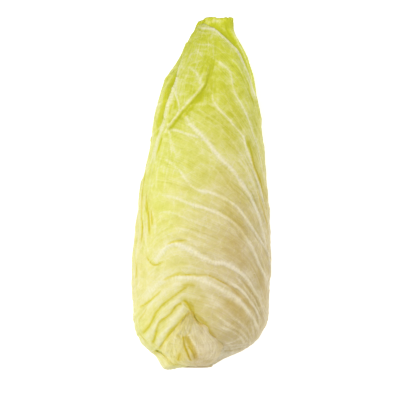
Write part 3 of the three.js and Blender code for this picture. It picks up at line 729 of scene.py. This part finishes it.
def covered(leaf):
    """Which grid cells a leaf covers, and each cell's angle in the leaf's own turn and place across it."""
    right, left = curve(leaf["right"], GRID_S), curve(leaf["left"], GRID_S)
    middle, half = (right + left) / 2, (left - right) / 2
    offset = np.mod(GRID_ANGLE - middle + 180, 360) - 180
    end = leaf["reach"] - leaf["round"] * np.minimum(np.abs(offset / half), 1) ** TIP_ROUNDNESS
    inside = (np.abs(offset) <= half + CELL_ANGLE) & (GRID_S <= end + CELL_S)
    return inside, middle + offset, offset / half


def thickness(leaf, s, angle):
    along = (s - LEAF_START) / (leaf["reach"] - LEAF_START)
    centre = leaf["rib"][0] + (leaf["rib"][1] - leaf["rib"][0]) * along
    return LAMINA + leaf["heavy"] * bell(angle - centre, MIDRIB_SPREAD) * np.maximum(1 - along, 0) ** 2


def least_depth(leaf, s):
    """Inner leaves keep below the outer ones, and their tips close the mouth at the head's tip."""
    return leaf["depth"] * (1 - 0.85 * smooth(285, 335, s))


def relief(leaf, s, angle, across):
    """Height above the leaf's smooth sheet, and the masks that its material uses."""
    height, masks = draw(leaf["marks"], s, angle)
    points = skin(s, angle)
    flow, upright = leaf["flow"](s, angle, across)
    around = MM_PER_DEGREE * angle
    lumps = 0.7 * noise(points, 24.0, 1.3) + 0.5 * noise(points, 9.0, 5.1) + 0.2 * noise(points, 4.0, 8.6)
    for direction, weight in ((flow, 1 - upright), (around, upright)):
        lines = np.stack([direction, 0.08 * s], axis=-1)
        lumps += weight * (0.3 * noise(lines, 6.5, 2.9) + leaf["fibrous"](angle) * noise(lines, 2.8, 7.7))
    masks.update(flow=flow, around=around, upright=upright, run=s)
    return height + lumps, masks


def tint(leaf, s, angle):
    """How green a leaf is and how tan: cream at the foot, green at the tip and low on the left, and tan
    low on the right, darker there as painted shade on the side turned from the key light."""
    blotch = noise(skin(s, angle), 22.0, 2.2)
    turned = np.mod(angle + 180, 360) - 180
    low_left = smooth(125, 160, turned) * smooth(110, 60, s)
    green = curve(GREEN_BY_S, s) + 0.1 * blotch + 0.2 * low_left + leaf["greener"]
    green += leaf["green_tip"] * smooth(60, 180, s)
    warm_and_shaded = smooth(135, 55, turned) * smooth(-60, 10, turned) * smooth(305, 115, s) + leaf["warmer"]
    return np.clip(green, 0, 1), np.clip(warm_and_shaded, 0, 1)


def softened(grid, reach):
    """Each cell becomes the mean of the cells within reach along both axes."""
    for axis in (0, 1):
        padded = np.pad(grid, [(reach, reach) if k == axis else (0, 0) for k in (0, 1)], mode="edge")
        count = grid.shape[axis]
        shifted = [np.take(padded, range(k, k + count), axis=axis) for k in range(2 * reach + 1)]
        grid = np.mean(shifted, axis=0)
    return grid


def closed_sheet(outer, inner):
    """Vertices and faces of a leaf from its outer face and its coarser inner face, joined by a rim.

    Both are grids of points by row (s) and column (angle), and inner takes every INNER_STEP-th of outer."""
    rows, columns = outer.shape[:2]
    count = rows * columns
    fine = np.arange(count).reshape(rows, columns)
    coarse = count + np.arange(inner.shape[0] * inner.shape[1]).reshape(inner.shape[:2])
    vertices = np.concatenate([outer.reshape(-1, 3), inner.reshape(-1, 3)])

    def quads(grid, turned):
        corners = [grid[:-1, :-1], grid[1:, :-1], grid[1:, 1:], grid[:-1, 1:]]
        stacked = np.stack(corners[::-1] if turned else corners, axis=-1)
        return stacked.reshape(-1, 4)

    faces = [*quads(fine, False).tolist(), *quads(coarse, True).tolist()]
    borders = [
        (fine[0], coarse[0], False),
        (fine[-1], coarse[-1], True),
        (fine[:, 0], coarse[:, 0], True),
        (fine[:, -1], coarse[:, -1], False),
    ]
    for edge, partner, turned in borders:
        for k in range(len(partner) - 1):
            near, far = int(partner[k]), int(partner[k + 1])
            half = INNER_STEP // 2
            fan = [[int(edge[INNER_STEP * k + half + 1]), far, near]]
            for j in range(INNER_STEP):
                first = int(edge[INNER_STEP * k + j])
                second = int(edge[INNER_STEP * k + j + 1])
                fan.append([first, second, near if j <= half else far])
            faces += [face[::-1] for face in fan] if turned else fan
    return vertices, faces


def bake_layout(rows, columns, inner_rows, inner_columns):
    """Texture places: the outer face takes most of the square, the inner face a strip beside it."""
    v, u = np.meshgrid(np.linspace(0.01, 0.99, rows), np.linspace(0.01, 0.72, columns), indexing="ij")
    outer = np.stack([u, v], axis=-1).reshape(-1, 2)
    v, u = np.meshgrid(
        np.linspace(0.01, 0.99, inner_rows), np.linspace(0.75, 0.99, inner_columns), indexing="ij"
    )
    return np.concatenate([outer, np.stack([u, v], axis=-1).reshape(-1, 2)])


def new_piece(name, vertices, faces, material, node, masks=None, layout=None):
    """A mesh object in place of a CAD node, with one number per vertex for each mask."""
    mesh = bpy.data.meshes.new(name)
    mesh.from_pydata((vertices * MM).tolist(), [], faces)
    mesh.polygons.foreach_set("use_smooth", np.ones(len(mesh.polygons), bool))
    for mask, values in (masks or {}).items():
        attribute = mesh.attributes.new(mask, "FLOAT", "POINT")
        attribute.data.foreach_set("value", np.asarray(values, np.float32).ravel())
    if layout is not None:
        corners = np.zeros(len(mesh.loops), np.int32)
        mesh.loops.foreach_get("vertex_index", corners)
        uv = mesh.uv_layers.new(name="OFBake")
        uv.data.foreach_set("uv", layout[corners].astype(np.float32).ravel())
    mesh.materials.append(material)
    piece = bpy.data.objects.new(name, mesh)
    bpy.context.scene.collection.objects.link(piece)
    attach(piece, "root")
    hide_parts(node)
    return piece


def masked_sheet(s, angle, depth, thick, masks):
    """Outer and inner faces of a sheet, with its masks for both faces in one row."""
    outer = place(s, angle, depth)
    pick = (slice(None, None, INNER_STEP), slice(None, None, INNER_STEP))
    inner = place(s[pick], angle[pick], (depth + thick)[pick])
    vertices, faces = closed_sheet(outer, inner)
    joined = {name: np.concatenate([mask.ravel(), mask[pick].ravel()]) for name, mask in masks.items()}
    layout = bake_layout(*outer.shape[:2], *inner.shape[:2])
    return vertices, faces, joined, layout


def under_limit(s, angle):
    """The least depth at which a leaf clears the leaves over it, falling away beyond their edges."""
    wide = sweep(taken, 1, 1, highest)
    cover = sweep((wide > 0).astype(float), 2, 2, average)
    return sample(wide, s, angle) - EDGE_DROP * (1 - sample(cover, s, angle))


def places_across(leaf):
    """A leaf's columns, from -1 to 1. fine_from is (share, split): that share of the columns comes before
    the split, and the rest lie closer together after it."""
    columns = 1 + INNER_STEP * leaf["columns"]
    if "fine_from" not in leaf:
        return np.linspace(-1, 1, columns)
    share, split = leaf["fine_from"]
    coarse = int(columns * share)
    before = np.linspace(-1, split, coarse, endpoint=False)
    return np.concatenate([before, np.linspace(split, 1, columns - coarse)])


def lay_leaf(leaf, material):
    """Lays one leaf under all leaves laid before it, and notes the room it takes."""
    global taken
    drape = drape_over(taken)
    rows = 1 + INNER_STEP * leaf["rows"]
    across, along = np.meshgrid(places_across(leaf), np.linspace(0, 1, rows))
    s, angle = leaf_places(leaf, across, along)
    edge = np.abs(across)
    height, masks = relief(leaf, s, angle, across)
    masks["halo"] = np.maximum(masks["halo"], 0.6 * edge**40) + leaf["paler"]
    # painted golden shade along the edges of leaves that ask for it
    masks["creases"] = np.maximum(masks["creases"], leaf["golden_edge"] * edge**60)
    # painted light and shade of the relief: above 0 on crests, painted paler, and below 0 in hollows, painted
    # richer
    masks["ridge"] = np.clip((height - softened(height, 3)) / 0.45, -1, 1)
    masks["green"], masks["warm_and_shaded"] = tint(leaf, s, angle)
    depth = np.maximum(sample(drape, s, angle), least_depth(leaf, s)) - height
    depth = np.maximum(depth, under_limit(s, angle))
    thick = thickness(leaf, s, angle) * (1 - 0.6 * edge**12)

    inside, turn, share = covered(leaf)
    grid_height = relief(leaf, GRID_S, turn, share)[0]
    below = np.maximum(drape, least_depth(leaf, GRID_S)) - grid_height + thickness(leaf, GRID_S, turn)
    taken = np.where(inside, np.maximum(taken, below + leaf["gap"]), taken)

    next_sheet = sample(drape_over(taken), s, angle)
    rim = np.maximum(edge**8, smooth(0.85, 1, along))
    depth += leaf["pressed"] * rim * np.maximum(next_sheet - thick - depth, 0)
    vertices, faces, masks, layout = masked_sheet(s, angle, depth, thick, masks)
    return new_piece(leaf["name"], vertices, faces, material, leaf["name"], masks, layout)


# ---- Materials -----------------------------------------------------------------------------------


class Graph:
    """Short ways to add and join the nodes of one material."""

    def __init__(self, name):
        self.material = bpy.data.materials.new(name)
        self.material.use_nodes = True
        self.tree = self.material.node_tree

    def add(self, kind, **values):
        node = self.tree.nodes.new(kind)
        for name, value in values.items():
            setattr(node, name, value)
        return node

    def feed(self, socket, value):
        """Joins a socket to another node's output, or sets its number or colour."""
        if isinstance(value, bpy.types.NodeSocket):
            self.tree.links.new(value, socket)
        elif isinstance(value, tuple) and len(value) == 3 and len(socket.default_value) == 4:
            socket.default_value = (*value, 1)
        else:
            socket.default_value = value

    def made(self, kind, inputs, **values):
        """A new node whose inputs, by name or number, are fed."""
        node = self.add(kind, **values)
        for key, value in inputs.items():
            self.feed(node.inputs[key], value)
        return node

    def surface(self, inputs):
        """Feeds the inputs of the material's own shader, and returns the material."""
        for name, value in inputs.items():
            self.feed(self.tree.nodes["Principled BSDF"].inputs[name], value)
        return self.material

    def attributes(self, *names):
        return [self.add("ShaderNodeAttribute", attribute_name=name).outputs["Fac"] for name in names]

    def math(self, operation, first, second, clamp=False):
        inputs = {0: first, 1: second}
        return self.made("ShaderNodeMath", inputs, operation=operation, use_clamp=clamp).outputs[0]

    def times(self, first, second, clamp=False):
        return self.math("MULTIPLY", first, second, clamp)

    def times_add(self, value, scale, shift):
        return self.math("ADD", self.times(value, scale), shift)

    def between(self, value, low, high):
        """0 at low and 1 at high, smoothly. high may be below low."""
        ends = {"From Min": low, "From Max": high, "To Min": 0.0, "To Max": 1.0}
        if high < low:
            ends = {"From Min": high, "From Max": low, "To Min": 1.0, "To Max": 0.0}
        inputs = {"Value": value, **ends}
        return self.made("ShaderNodeMapRange", inputs, interpolation_type="SMOOTHSTEP").outputs[0]

    def blend(self, amount, first, second):
        """The number that is first at 0 and second at 1."""
        return self.made("ShaderNodeMix", {0: amount, 2: first, 3: second}, data_type="FLOAT").outputs[0]

    def mix(self, amount, first, second, blend="MIX"):
        """The colour that is first at 0 and second at 1."""
        inputs = {0: amount, 6: first, 7: second}
        return self.made("ShaderNodeMix", inputs, data_type="RGBA", blend_type=blend).outputs[2]

    def millimetres(self):
        """Object coordinates in mm."""
        return self.scaled(self.add("ShaderNodeTexCoord").outputs["Object"], (1 / MM,) * 3)

    def scaled(self, vector, scale):
        return self.made("ShaderNodeVectorMath", {0: vector, 1: scale}, operation="MULTIPLY").outputs[0]

    def combined(self, x, y, z):
        return self.made("ShaderNodeCombineXYZ", {0: x, 1: y, 2: z}).outputs[0]

    def noise(self, vector, scale, detail=3.0, rough=0.55, twist=0.0):
        inputs = {"Vector": vector, "Scale": scale, "Detail": detail, "Roughness": rough, "Distortion": twist}
        return self.made("ShaderNodeTexNoise", inputs).outputs["Fac"]

    def net(self, vector, cell, width):
        """1 on the edges of irregular cells of about this size in mm, falling to 0 over width."""
        bend = self.made("ShaderNodeTexNoise", {"Vector": vector, "Scale": 0.8 / cell}).outputs["Color"]
        shift = self.scaled(bend, (0.9 * cell,) * 3)
        moved = self.made("ShaderNodeVectorMath", {0: vector, 1: shift}, operation="ADD").outputs[0]
        inputs = {"Vector": moved, "Scale": 1 / cell}
        edges = self.made("ShaderNodeTexVoronoi", inputs, feature="DISTANCE_TO_EDGE").outputs["Distance"]
        return self.between(edges, width / cell, 0.0)

    def bumps(self, *layers):
        """One normal from several layers of (height, how many mm it stands for)."""
        normal = None
        for height, millimetres in layers:
            inputs = {"Height": height, "Strength": 1.0, "Distance": millimetres * MM}
            if normal is not None:
                inputs["Normal"] = normal
            normal = self.made("ShaderNodeBump", inputs).outputs[0]
        return normal


CREAM = (0.80, 0.735, 0.28)
PALE_GREEN = (0.74, 0.735, 0.17)
GREEN = (0.605, 0.62, 0.045)
# tan that the low right of a leaf turns to, partly its colour and partly painted shade; the cut stem uses it
# as its own mottle
WARM = (0.60, 0.47, 0.24)
VEIN = (0.89, 0.84, 0.58)
WARM_VEIN = (0.84, 0.74, 0.52)
DEEPER_AND_SHADE = (0.84, 0.845, 0.24)  # what painted shade and richer tone multiply the leaf's own colour by
WARM_DEEPER_AND_SHADE = (0.83, 0.75, 0.44)  # the same where the leaf is tan, giving tan painted shade
FOLD_SHADE = (0.94, 0.84, 0.10)  # painted golden shade: what the line of a fold multiplies the colour by
WARM_FOLD_SHADE = (0.84, 0.68, 0.26)  # the same painted shade where the leaf is tan
GREEN_FOLD_SHADE = (0.94, 0.95, 0.08)  # the same painted shade where the leaf is green
CUT_TAN = (0.52, 0.37, 0.19)
CUT_VESSEL = (0.60, 0.52, 0.20)
MOIST = {"Subsurface Weight": 0.15, "Subsurface Scale": 0.003}  # light that gets a few mm into the flesh


def leaf_material(name, shade=1.0, seed=0.0):
    """Waxy leaf: cream at the foot to green at the tip, pale ribs and net, painted golden shade in the folds,
    painted shade and highlights of the relief, fine lines.
    """
    graph = Graph(name)
    position = graph.millimetres()
    green, warm_and_shaded, run, upright = graph.attributes("green", "warm_and_shaded", "run", "upright")
    ribs, creases, halo, deep, ridge = graph.attributes("ribs", "creases", "halo", "deep", "ridge")
    flow, around = graph.attributes("flow", "around")

    def fibres(across_scale, along_scale, detail):
        """Noise drawn out along the ribs, or up the head where the leaf says so."""
        along = graph.times(run, along_scale)
        layers = []
        for direction in (flow, around):
            across = graph.times_add(direction, across_scale, seed)
            layers.append(graph.noise(graph.combined(across, along, 0.0), 1.0, detail, 0.62))
        return graph.blend(upright, *layers)

    patches = graph.noise(position, 0.06, 3.0, 0.6, 0.4)
    clouds = graph.noise(position, 0.11, 3.0, 0.55, 0.3)
    mottle = graph.noise(position, 0.3, 4.0, 0.62)
    streaks = fibres(0.38, 0.022, 4.0)
    fine_lines = fibres(1.5, 0.05, 3.0)
    net = graph.net(position, 10.0, 0.8)
    fine_net = graph.net(position, 3.4, 0.5)
    grain = graph.noise(position, 1.6, 3.0, 0.6)
    uneven = graph.times_add(mottle, 0.9, 0.45)

    # the leaf's own colour
    greener = graph.math("ADD", green, graph.times_add(patches, 0.5, -0.25))
    low = graph.mix(graph.between(greener, 0.05, 0.55), CREAM, PALE_GREEN)
    colour = graph.mix(graph.between(greener, 0.45, 1.0), low, GREEN)
    # tan low on the right: partly the leaf's colour, partly painted shade on the side turned from the key
    # light
    colour = graph.mix(graph.times(warm_and_shaded, uneven, clamp=True), colour, WARM)

    # paler where tone is above 0, and richer below. ridge in it is the painted light and shade of the
    # relief, and halo brings the mounds' painted highlights with the ribs' pale halos
    tone = graph.times_add(streaks, 1.4, -0.7)
    for layer, weight, shift in (
        (clouds, 1.3, -0.65), (mottle, 0.9, -0.45), (fine_lines, 1.0, -0.5), (ridge, 0.35, 0.0),
        (halo, 0.9, -0.2), (net, 0.24, 0.0), (fine_net, 0.06, 0.0),
    ):
        tone = graph.math("ADD", tone, graph.times_add(layer, weight, shift))
    vein_colour = graph.mix(warm_and_shaded, VEIN, WARM_VEIN)
    colour = graph.mix(graph.times(tone, 0.8, clamp=True), colour, vein_colour)
    broken = graph.times_add(graph.noise(position, 0.9, 3.0, 0.7), 4.0, -1.25)
    colour = graph.mix(graph.times(ribs, broken, clamp=True), colour, vein_colour)
    richness = graph.times_add(green, -1.6, -0.6)
    # richer tone, and painted shade in valleys, in hollows and beside edges and folds
    deeper_with_shade = graph.math("ADD", graph.times(tone, richness, clamp=True), deep, clamp=True)
    colour = graph.mix(deeper_with_shade, colour, graph.mix(warm_and_shaded, DEEPER_AND_SHADE, WARM_DEEPER_AND_SHADE), "MULTIPLY")

    # painted golden shade along fold lines, in crumples and on the golden edges of flaps
    dry_fold_shade = graph.mix(graph.between(warm_and_shaded, 0.75, 1.1), FOLD_SHADE, WARM_FOLD_SHADE)
    fold = graph.mix(graph.between(greener, 0.3, 0.7), dry_fold_shade, GREEN_FOLD_SHADE)
    colour = graph.mix(graph.times(creases, uneven, clamp=True), colour, fold, "MULTIPLY")
    # the slot's shade factor scales the colour as painted light, brightening pieces that the lamps leave dim;
    # mottle adds uneven tone
    brightness_and_painted_light = graph.times_add(mottle, 0.08, 0.96 * shade)
    rough = graph.times_add(mottle, 0.24, 0.26)
    return graph.surface({
        "Base Color": graph.mix(1.0, colour, graph.combined(brightness_and_painted_light, brightness_and_painted_light, brightness_and_painted_light), "MULTIPLY"),
        "Normal": graph.bumps(
            (fine_lines, 0.6), (streaks, 0.5), (net, 0.12), (fine_net, 0.1), (grain, 0.12)),
        "Roughness": graph.math("SUBTRACT", rough, graph.times(ribs, 0.06)),
        "IOR": 1.4, "Specular IOR Level": 0.28, "Coat Weight": 0.06, "Coat Roughness": 0.25,
        "Subsurface Radius": (1.0, 0.8, 0.2), **MOIST,
    })


def stem_material():
    """The cut: a dried tan rim, a ring of vessels and a moist pale middle, with knife marks."""
    graph = Graph("cut_stem")
    position = graph.millimetres()
    out, = graph.attributes("out")
    mottle = graph.noise(position, 0.35, 4.0, 0.65)
    vessels = graph.noise(graph.scaled(position, (1, 0.15, 1)), 1.1, 2.0, 0.5)
    knife = graph.noise(graph.scaled(position, (0.25, 1, 2.2)), 1.0, 2.0, 0.5)
    grain = graph.noise(position, 2.0, 3.0, 0.6)
    ring = graph.times(graph.between(out, 0.55, 0.68), graph.between(out, 0.86, 0.72))
    dry = graph.between(graph.math("ADD", out, graph.times_add(mottle, 0.3, -0.15)), 0.7, 1.0)
    colour = graph.mix(graph.times(ring, graph.between(vessels, 0.45, 0.6)), CREAM, CUT_VESSEL)
    colour = graph.mix(graph.times(dry, 0.85), colour, CUT_TAN)
    return graph.surface({
        "Base Color": graph.mix(graph.times_add(mottle, 0.5, -0.1), colour, WARM),
        "Normal": graph.bumps((knife, 0.35), (grain, 0.2)),
        "Roughness": graph.times_add(mottle, 0.3, 0.45),
        "Subsurface Radius": (1.0, 0.8, 0.3), **MOIST,
    })


# ---- The pieces ------------------------------------------------------------------------------------

# From the outermost leaf inwards. Each leaf is laid under all those before it.
LEAVES = [
    leaf("base_flap_left", 52,
         [[16, 108], [22, 120], [27, 133], [34, 142], [41, 150], [46, 168], [52, 185]],
         [[16, 250], [30, 244], [44, 232], [52, 214]], (196, 196), columns=24, rows=18, marks=SIDE_FLAP_MARKS,
         round=6, heavy=0.9, wave=1.0, gap=0.15, pressed=1.0,
         # painted light: shade brightens this flap, which the lamps leave dim, and its edges get painted
         # golden shade
         shade=1.16, warmer=0.2, greener=-0.05, golden_edge=1.0),
    leaf("base_flap_centre", 82,
         [[16, 36], [39, 51], [48, 60], [54, 68.5], [61, 78], [68, 85], [75, 92], [82, 96]],
         [[16, 146], [30, 156], [40, 152], [46, 141], [52, 129], [60, 118], [73, 105], [82, 100]], (96, 99),
         columns=46, rows=40, marks=FLAP_MARKS,
         round=2, heavy=0.9, wave=4.0, wave_length=6.5, gap=0.15, pressed=1.0,
         # painted light: shade brightens this flap, which the lamps leave dim, and its edges get painted
         # golden shade
         shade=1.24, warmer=0.3, greener=-0.1, paler=0.05, golden_edge=1.0),
    leaf("leaf_front", 340,
         [[16, -40], [40, -50], [80, -52], [150, -50], [200, -44], [230, -32], [250, -10], [265, 5],
          [276, 16], [286, 23], [300, 32], [312, 38.5], [320, 47], [326, 58], [332, 74], [337, 92],
          [340, 104]],
         [[16, 150], [40, 178], [80, 198], [150, 194], [180, 185], [210, 165], [235, 152], [258, 143],
          [283, 137], [290, 143], [300, 152], [320, 162], [340, 152]], (-20, 10),
         columns=86, rows=108, fine_from=(0.1, -0.58), round=4, wave=0.4, flow=flow_front,
         fibrous=lambda angle: 0.12 + 0.45 * smooth(132, 160, angle) + 0.16 * smooth(75, 40, angle),
         marks=[*FRONT_RIBS, *FRONT_VEINS, *LAPEL, *LEFT_MARGIN, *RIGHT_MARGIN, *LOW_FOLDS, *VALLEYS]),
    leaf("leaf_left", 322,
         [[16, 110], [60, 100], [200, 96], [322, 112]],
         [[16, 260], [50, 285], [120, 306], [220, 290], [322, 236]], (190, 186),
         columns=50, rows=76, round=22, pairs=9, marks=SHOULDER_MARKS),
    leaf("leaf_tip", 347,
         [[16, -70], [60, -84], [200, -80], [300, -64], [347, -40]],
         [[16, 110], [60, 126], [200, 128], [300, 150], [347, 176]], (30, 50),
         # painted light: shade brightens the tip
         columns=50, rows=82, round=5, shade=1.14, green_tip=0.3, paler=-0.3, marks=TIP_MARKS),
    leaf("leaf_right", 318,
         [[16, 230], [60, 214], [200, 222], [318, 262]],
         [[16, 350], [60, 376], [200, 380], [318, 366]], (300, 312), columns=24, rows=50, round=20, pairs=6),
    leaf("leaf_under", 335,
         [[16, 160], [60, 150], [200, 158], [335, 180]],
         [[16, 300], [60, 330], [200, 336], [335, 330]], (240, 250),
         columns=24, rows=50, round=16, heavy=2.0, pairs=6),
    leaf("leaf_back", 338,
         [[16, 20], [60, 0], [200, 4], [338, 20]],
         [[16, 170], [60, 190], [200, 190], [338, 180]], (95, 92),
         columns=24, rows=50, round=14, heavy=2.0, pairs=6),
]

INNER_LEAVES = 8
GOLDEN_ANGLE = 137.5  # leaves of a rosette follow each other by it
for k in range(INNER_LEAVES):
    middle = 250 + k * GOLDEN_ANGLE
    spread = 104 - 3 * k
    reach = 340 - 3 * k
    LEAVES.append(leaf(
        f"inner_leaf_{k + 1}", reach,
        [[16, middle - 0.7 * spread], [70, middle - spread], [220, middle - spread], [reach, middle - 60]],
        [[16, middle + 0.7 * spread], [70, middle + spread], [220, middle + spread], [reach, middle + 60]],
        (middle, middle), slot="inner_leaves",
        columns=16, rows=36, round=18, heavy=1.6, depth=11 + 3 * k, greener=-0.1, pairs=4,
    ))

SEED_STEP = 3.7  # sets the fine lines of one material apart from the next one's
materials = {}
for number, each in enumerate(LEAVES):
    slot = each["slot"]
    if slot not in materials:
        materials[slot] = leaf_material(slot, each["shade"], seed=SEED_STEP * number)
    lay_leaf(each, materials[slot])


def ringed(name, rings, masks, material):
    """A closed body from rings of points, with a fan at each end."""
    rows, around = rings.shape[:2]
    corner = np.arange(rows * around).reshape(rows, around)
    after = np.roll(corner, -1, axis=1)
    faces = np.stack([corner[:-1], corner[1:], after[1:], after[:-1]], axis=-1).reshape(-1, 4).tolist()
    foot, top = rows * around, rows * around + 1
    faces += [[foot, int(corner[0, i]), int(after[0, i])] for i in range(around)]
    faces += [[top, int(after[-1, i]), int(corner[-1, i])] for i in range(around)]
    ends = np.stack([rings[0].mean(axis=0), rings[-1].mean(axis=0)])
    vertices = np.concatenate([rings.reshape(-1, 3), ends])
    whole = {}
    for key, mask in masks.items():
        whole[key] = np.concatenate([mask.ravel(), [mask[0].mean(), mask[-1].mean()]])
    return new_piece(name, vertices, faces, material, name, whole)


BUD_PLEATS = 9
BUD_PLEAT_DEPTH = 2.2
BUD_FOOT = 43.0  # mm under the skin at the bud's foot
STEP_AROUND = 3.0  # degrees between the corners of the bud's and the stem's rings


def heart_bud():
    """The bud of unopened leaves: a pleated, slightly twisted body in the room that the leaves leave."""
    along = np.linspace(LEAF_START + 6, SKIN_END - 8, 110)
    s, angle = np.meshgrid(along, np.arange(0, 360, STEP_AROUND), indexing="ij")
    pleat = np.abs(np.sin(np.radians(BUD_PLEATS * (angle + 0.35 * s)) / 2))
    foot = BUD_FOOT * (1 - smooth(LEAF_START, 70, s))
    depth = np.maximum(sample(drape_over(taken), s, angle) + 1, foot)
    depth += BUD_PLEAT_DEPTH * (1 - pleat) + 0.4 * noise(skin(s, angle), 9.0)
    masks = {
        # pale on the pleats' crests, and painted golden shade in their grooves
        "ribs": 0.5 * pleat**6, "creases": smooth(0.25, 0.0, pleat),
        "green": 0.05 + 0.3 * smooth(150, 330, s), "flow": angle * 0.8, "around": angle * 0.8, "run": s,
        **{name: np.zeros(s.shape) for name in ("warm_and_shaded", "halo", "deep", "ridge", "upright")},
    }
    ringed("heart_bud", place(s, angle, depth), masks, leaf_material("heart_bud", seed=51.0))


STEM_FACE_CENTRE = np.array([-6.0, 2.0, 50.0])
STEM_RADIUS = 15.5
STEM_BEVEL = 0.9
STEM_HOLLOW = 0.25  # mm that the middle of the face lies inside its plane, and its edge outside
STEM_COLLAR = 2.2  # mm from the face at which the straight side ends
STEM_CONE = 36.0  # mm from the face at which the stem ends, inside the head
STEM_SIDE_TONE = 0.6  # the side is coloured as the face is at this share of its radius


def cut_stem():
    """The cut face, slightly hollow, its bevelled rim, and a cone that runs into the head."""
    to_spine = SPINE_FOOT - STEM_FACE_CENTRE
    to_spine /= np.linalg.norm(to_spine)
    cone_length = SPINE_FOOT[1] - STEM_FACE_CENTRE[1]
    steps = [
        (share * (STEM_RADIUS - STEM_BEVEL), STEM_HOLLOW * math.cos(share * math.pi))
        for share in np.linspace(0.04, 1, 18)
    ]
    steps += [(STEM_RADIUS, STEM_BEVEL), (STEM_RADIUS, STEM_COLLAR)]
    steps += [(STEM_RADIUS * (1 - inside / cone_length), inside) for inside in np.linspace(4, STEM_CONE, 12)]
    turn = np.radians(np.arange(0, 360, STEP_AROUND))
    wobble = 1 - 0.035 * np.abs(np.sin(2.5 * turn + 0.6)) - 0.02 * np.abs(np.sin(4 * turn))
    rings, out = [], []
    for radius, inside in steps:
        centre = STEM_FACE_CENTRE + to_spine * max(inside, 0)
        x = centre[0] + radius * wobble * np.cos(turn)
        y = np.full(x.shape, centre[1] + min(inside, 0) - HEAD_LENGTH / 2)
        z = centre[2] + radius * wobble * np.sin(turn)
        rings.append(np.stack([x, y, z], axis=-1))
        out.append(np.full(x.shape, radius / STEM_RADIUS if inside < 1 else STEM_SIDE_TONE))
    ringed("cut_stem", np.array(rings)[:, ::-1], {"out": np.array(out)}, stem_material())


heart_bud()
cut_stem()


# ---- Studio ------------------------------------------------------------------------------------------

WHITE = (1.0, 1.0, 1.0)
FLOOR_HALF = 4.0
FLOOR_DROP = 0.0002  # keeps the floor just under the head's flat faces
FLOOR_COLOUR = (0.8, 0.8, 0.8)
FLOOR_SHOWN = 0.6  # the floor's own light to the camera, so that it shows white but keeps the shadow
WORLD_STRENGTH = 0.58
LAMP_TARGET = (0, 0, 0.04)
LAMPS = [  # name, position in metres, diameter in metres, watts
    ("key", (-1.5, 0.5, 1.8), 1.2, 31),
    ("fill", (1.9, 0.9, 0.7), 1.6, 20),
    ("foot", (-0.1, -1.8, 0.6), 1.4, 6),
]


def studio_floor():
    corners = [(FLOOR_HALF * x, FLOOR_HALF * y, 0) for x, y in ((-1, -1), (1, -1), (1, 1), (-1, 1))]
    mesh = bpy.data.meshes.new("floor")
    mesh.from_pydata(corners, [], [(0, 1, 2, 3)])
    floor = bpy.data.objects.new("floor", mesh)
    floor.location.z = -FLOOR_DROP
    bpy.context.scene.collection.objects.link(floor)
    graph = Graph("floor")
    paths = graph.add("ShaderNodeLightPath").outputs
    seen = graph.math("MAXIMUM", paths["Is Camera Ray"], paths["Is Glossy Ray"])
    mesh.materials.append(graph.surface({
        "Base Color": FLOOR_COLOUR, "Roughness": 0.9, "Specular IOR Level": 0.0,
        "Emission Color": WHITE, "Emission Strength": graph.times(seen, FLOOR_SHOWN),
    }))


def area_light(name, position, size, power):
    lamp = bpy.data.lights.new(name, "AREA")
    lamp.shape = "DISK"
    lamp.size = size
    lamp.energy = power
    light = bpy.data.objects.new(name, lamp)
    light.location = position
    towards = Vector(LAMP_TARGET) - Vector(position)
    light.rotation_euler = towards.to_track_quat("-Z", "Y").to_euler()
    bpy.context.scene.collection.objects.link(light)


studio_floor()
for lamp in LAMPS:
    area_light(*lamp)

world = bpy.data.worlds.new("studio")
world.use_nodes = True
world.node_tree.nodes["Background"].inputs["Color"].default_value = (*WHITE, 1.0)
world.node_tree.nodes["Background"].inputs["Strength"].default_value = WORLD_STRENGTH
bpy.context.scene.world = world

# ---- Camera: straight above, with +Y up the picture ----------------------------------------------------

CAMERA_DISTANCE = 2.5
SENSOR_WIDTH = 36.0
PICTURE_WIDTH = 0.3408  # metres across the picture at the head's mid height
PICTURE_CENTRE = (-0.0017, -0.006)
MID_HEIGHT = 0.05

camera_data = bpy.data.cameras.new("camera")
camera_data.sensor_width = SENSOR_WIDTH
camera_data.lens = SENSOR_WIDTH * CAMERA_DISTANCE / PICTURE_WIDTH
camera_data.clip_end = 20
camera = bpy.data.objects.new("camera", camera_data)
camera.location = (*PICTURE_CENTRE, MID_HEIGHT + CAMERA_DISTANCE)
bpy.context.scene.collection.objects.link(camera)
bpy.context.scene.camera = camera
bpy.context.scene.view_settings.view_transform = "Standard"
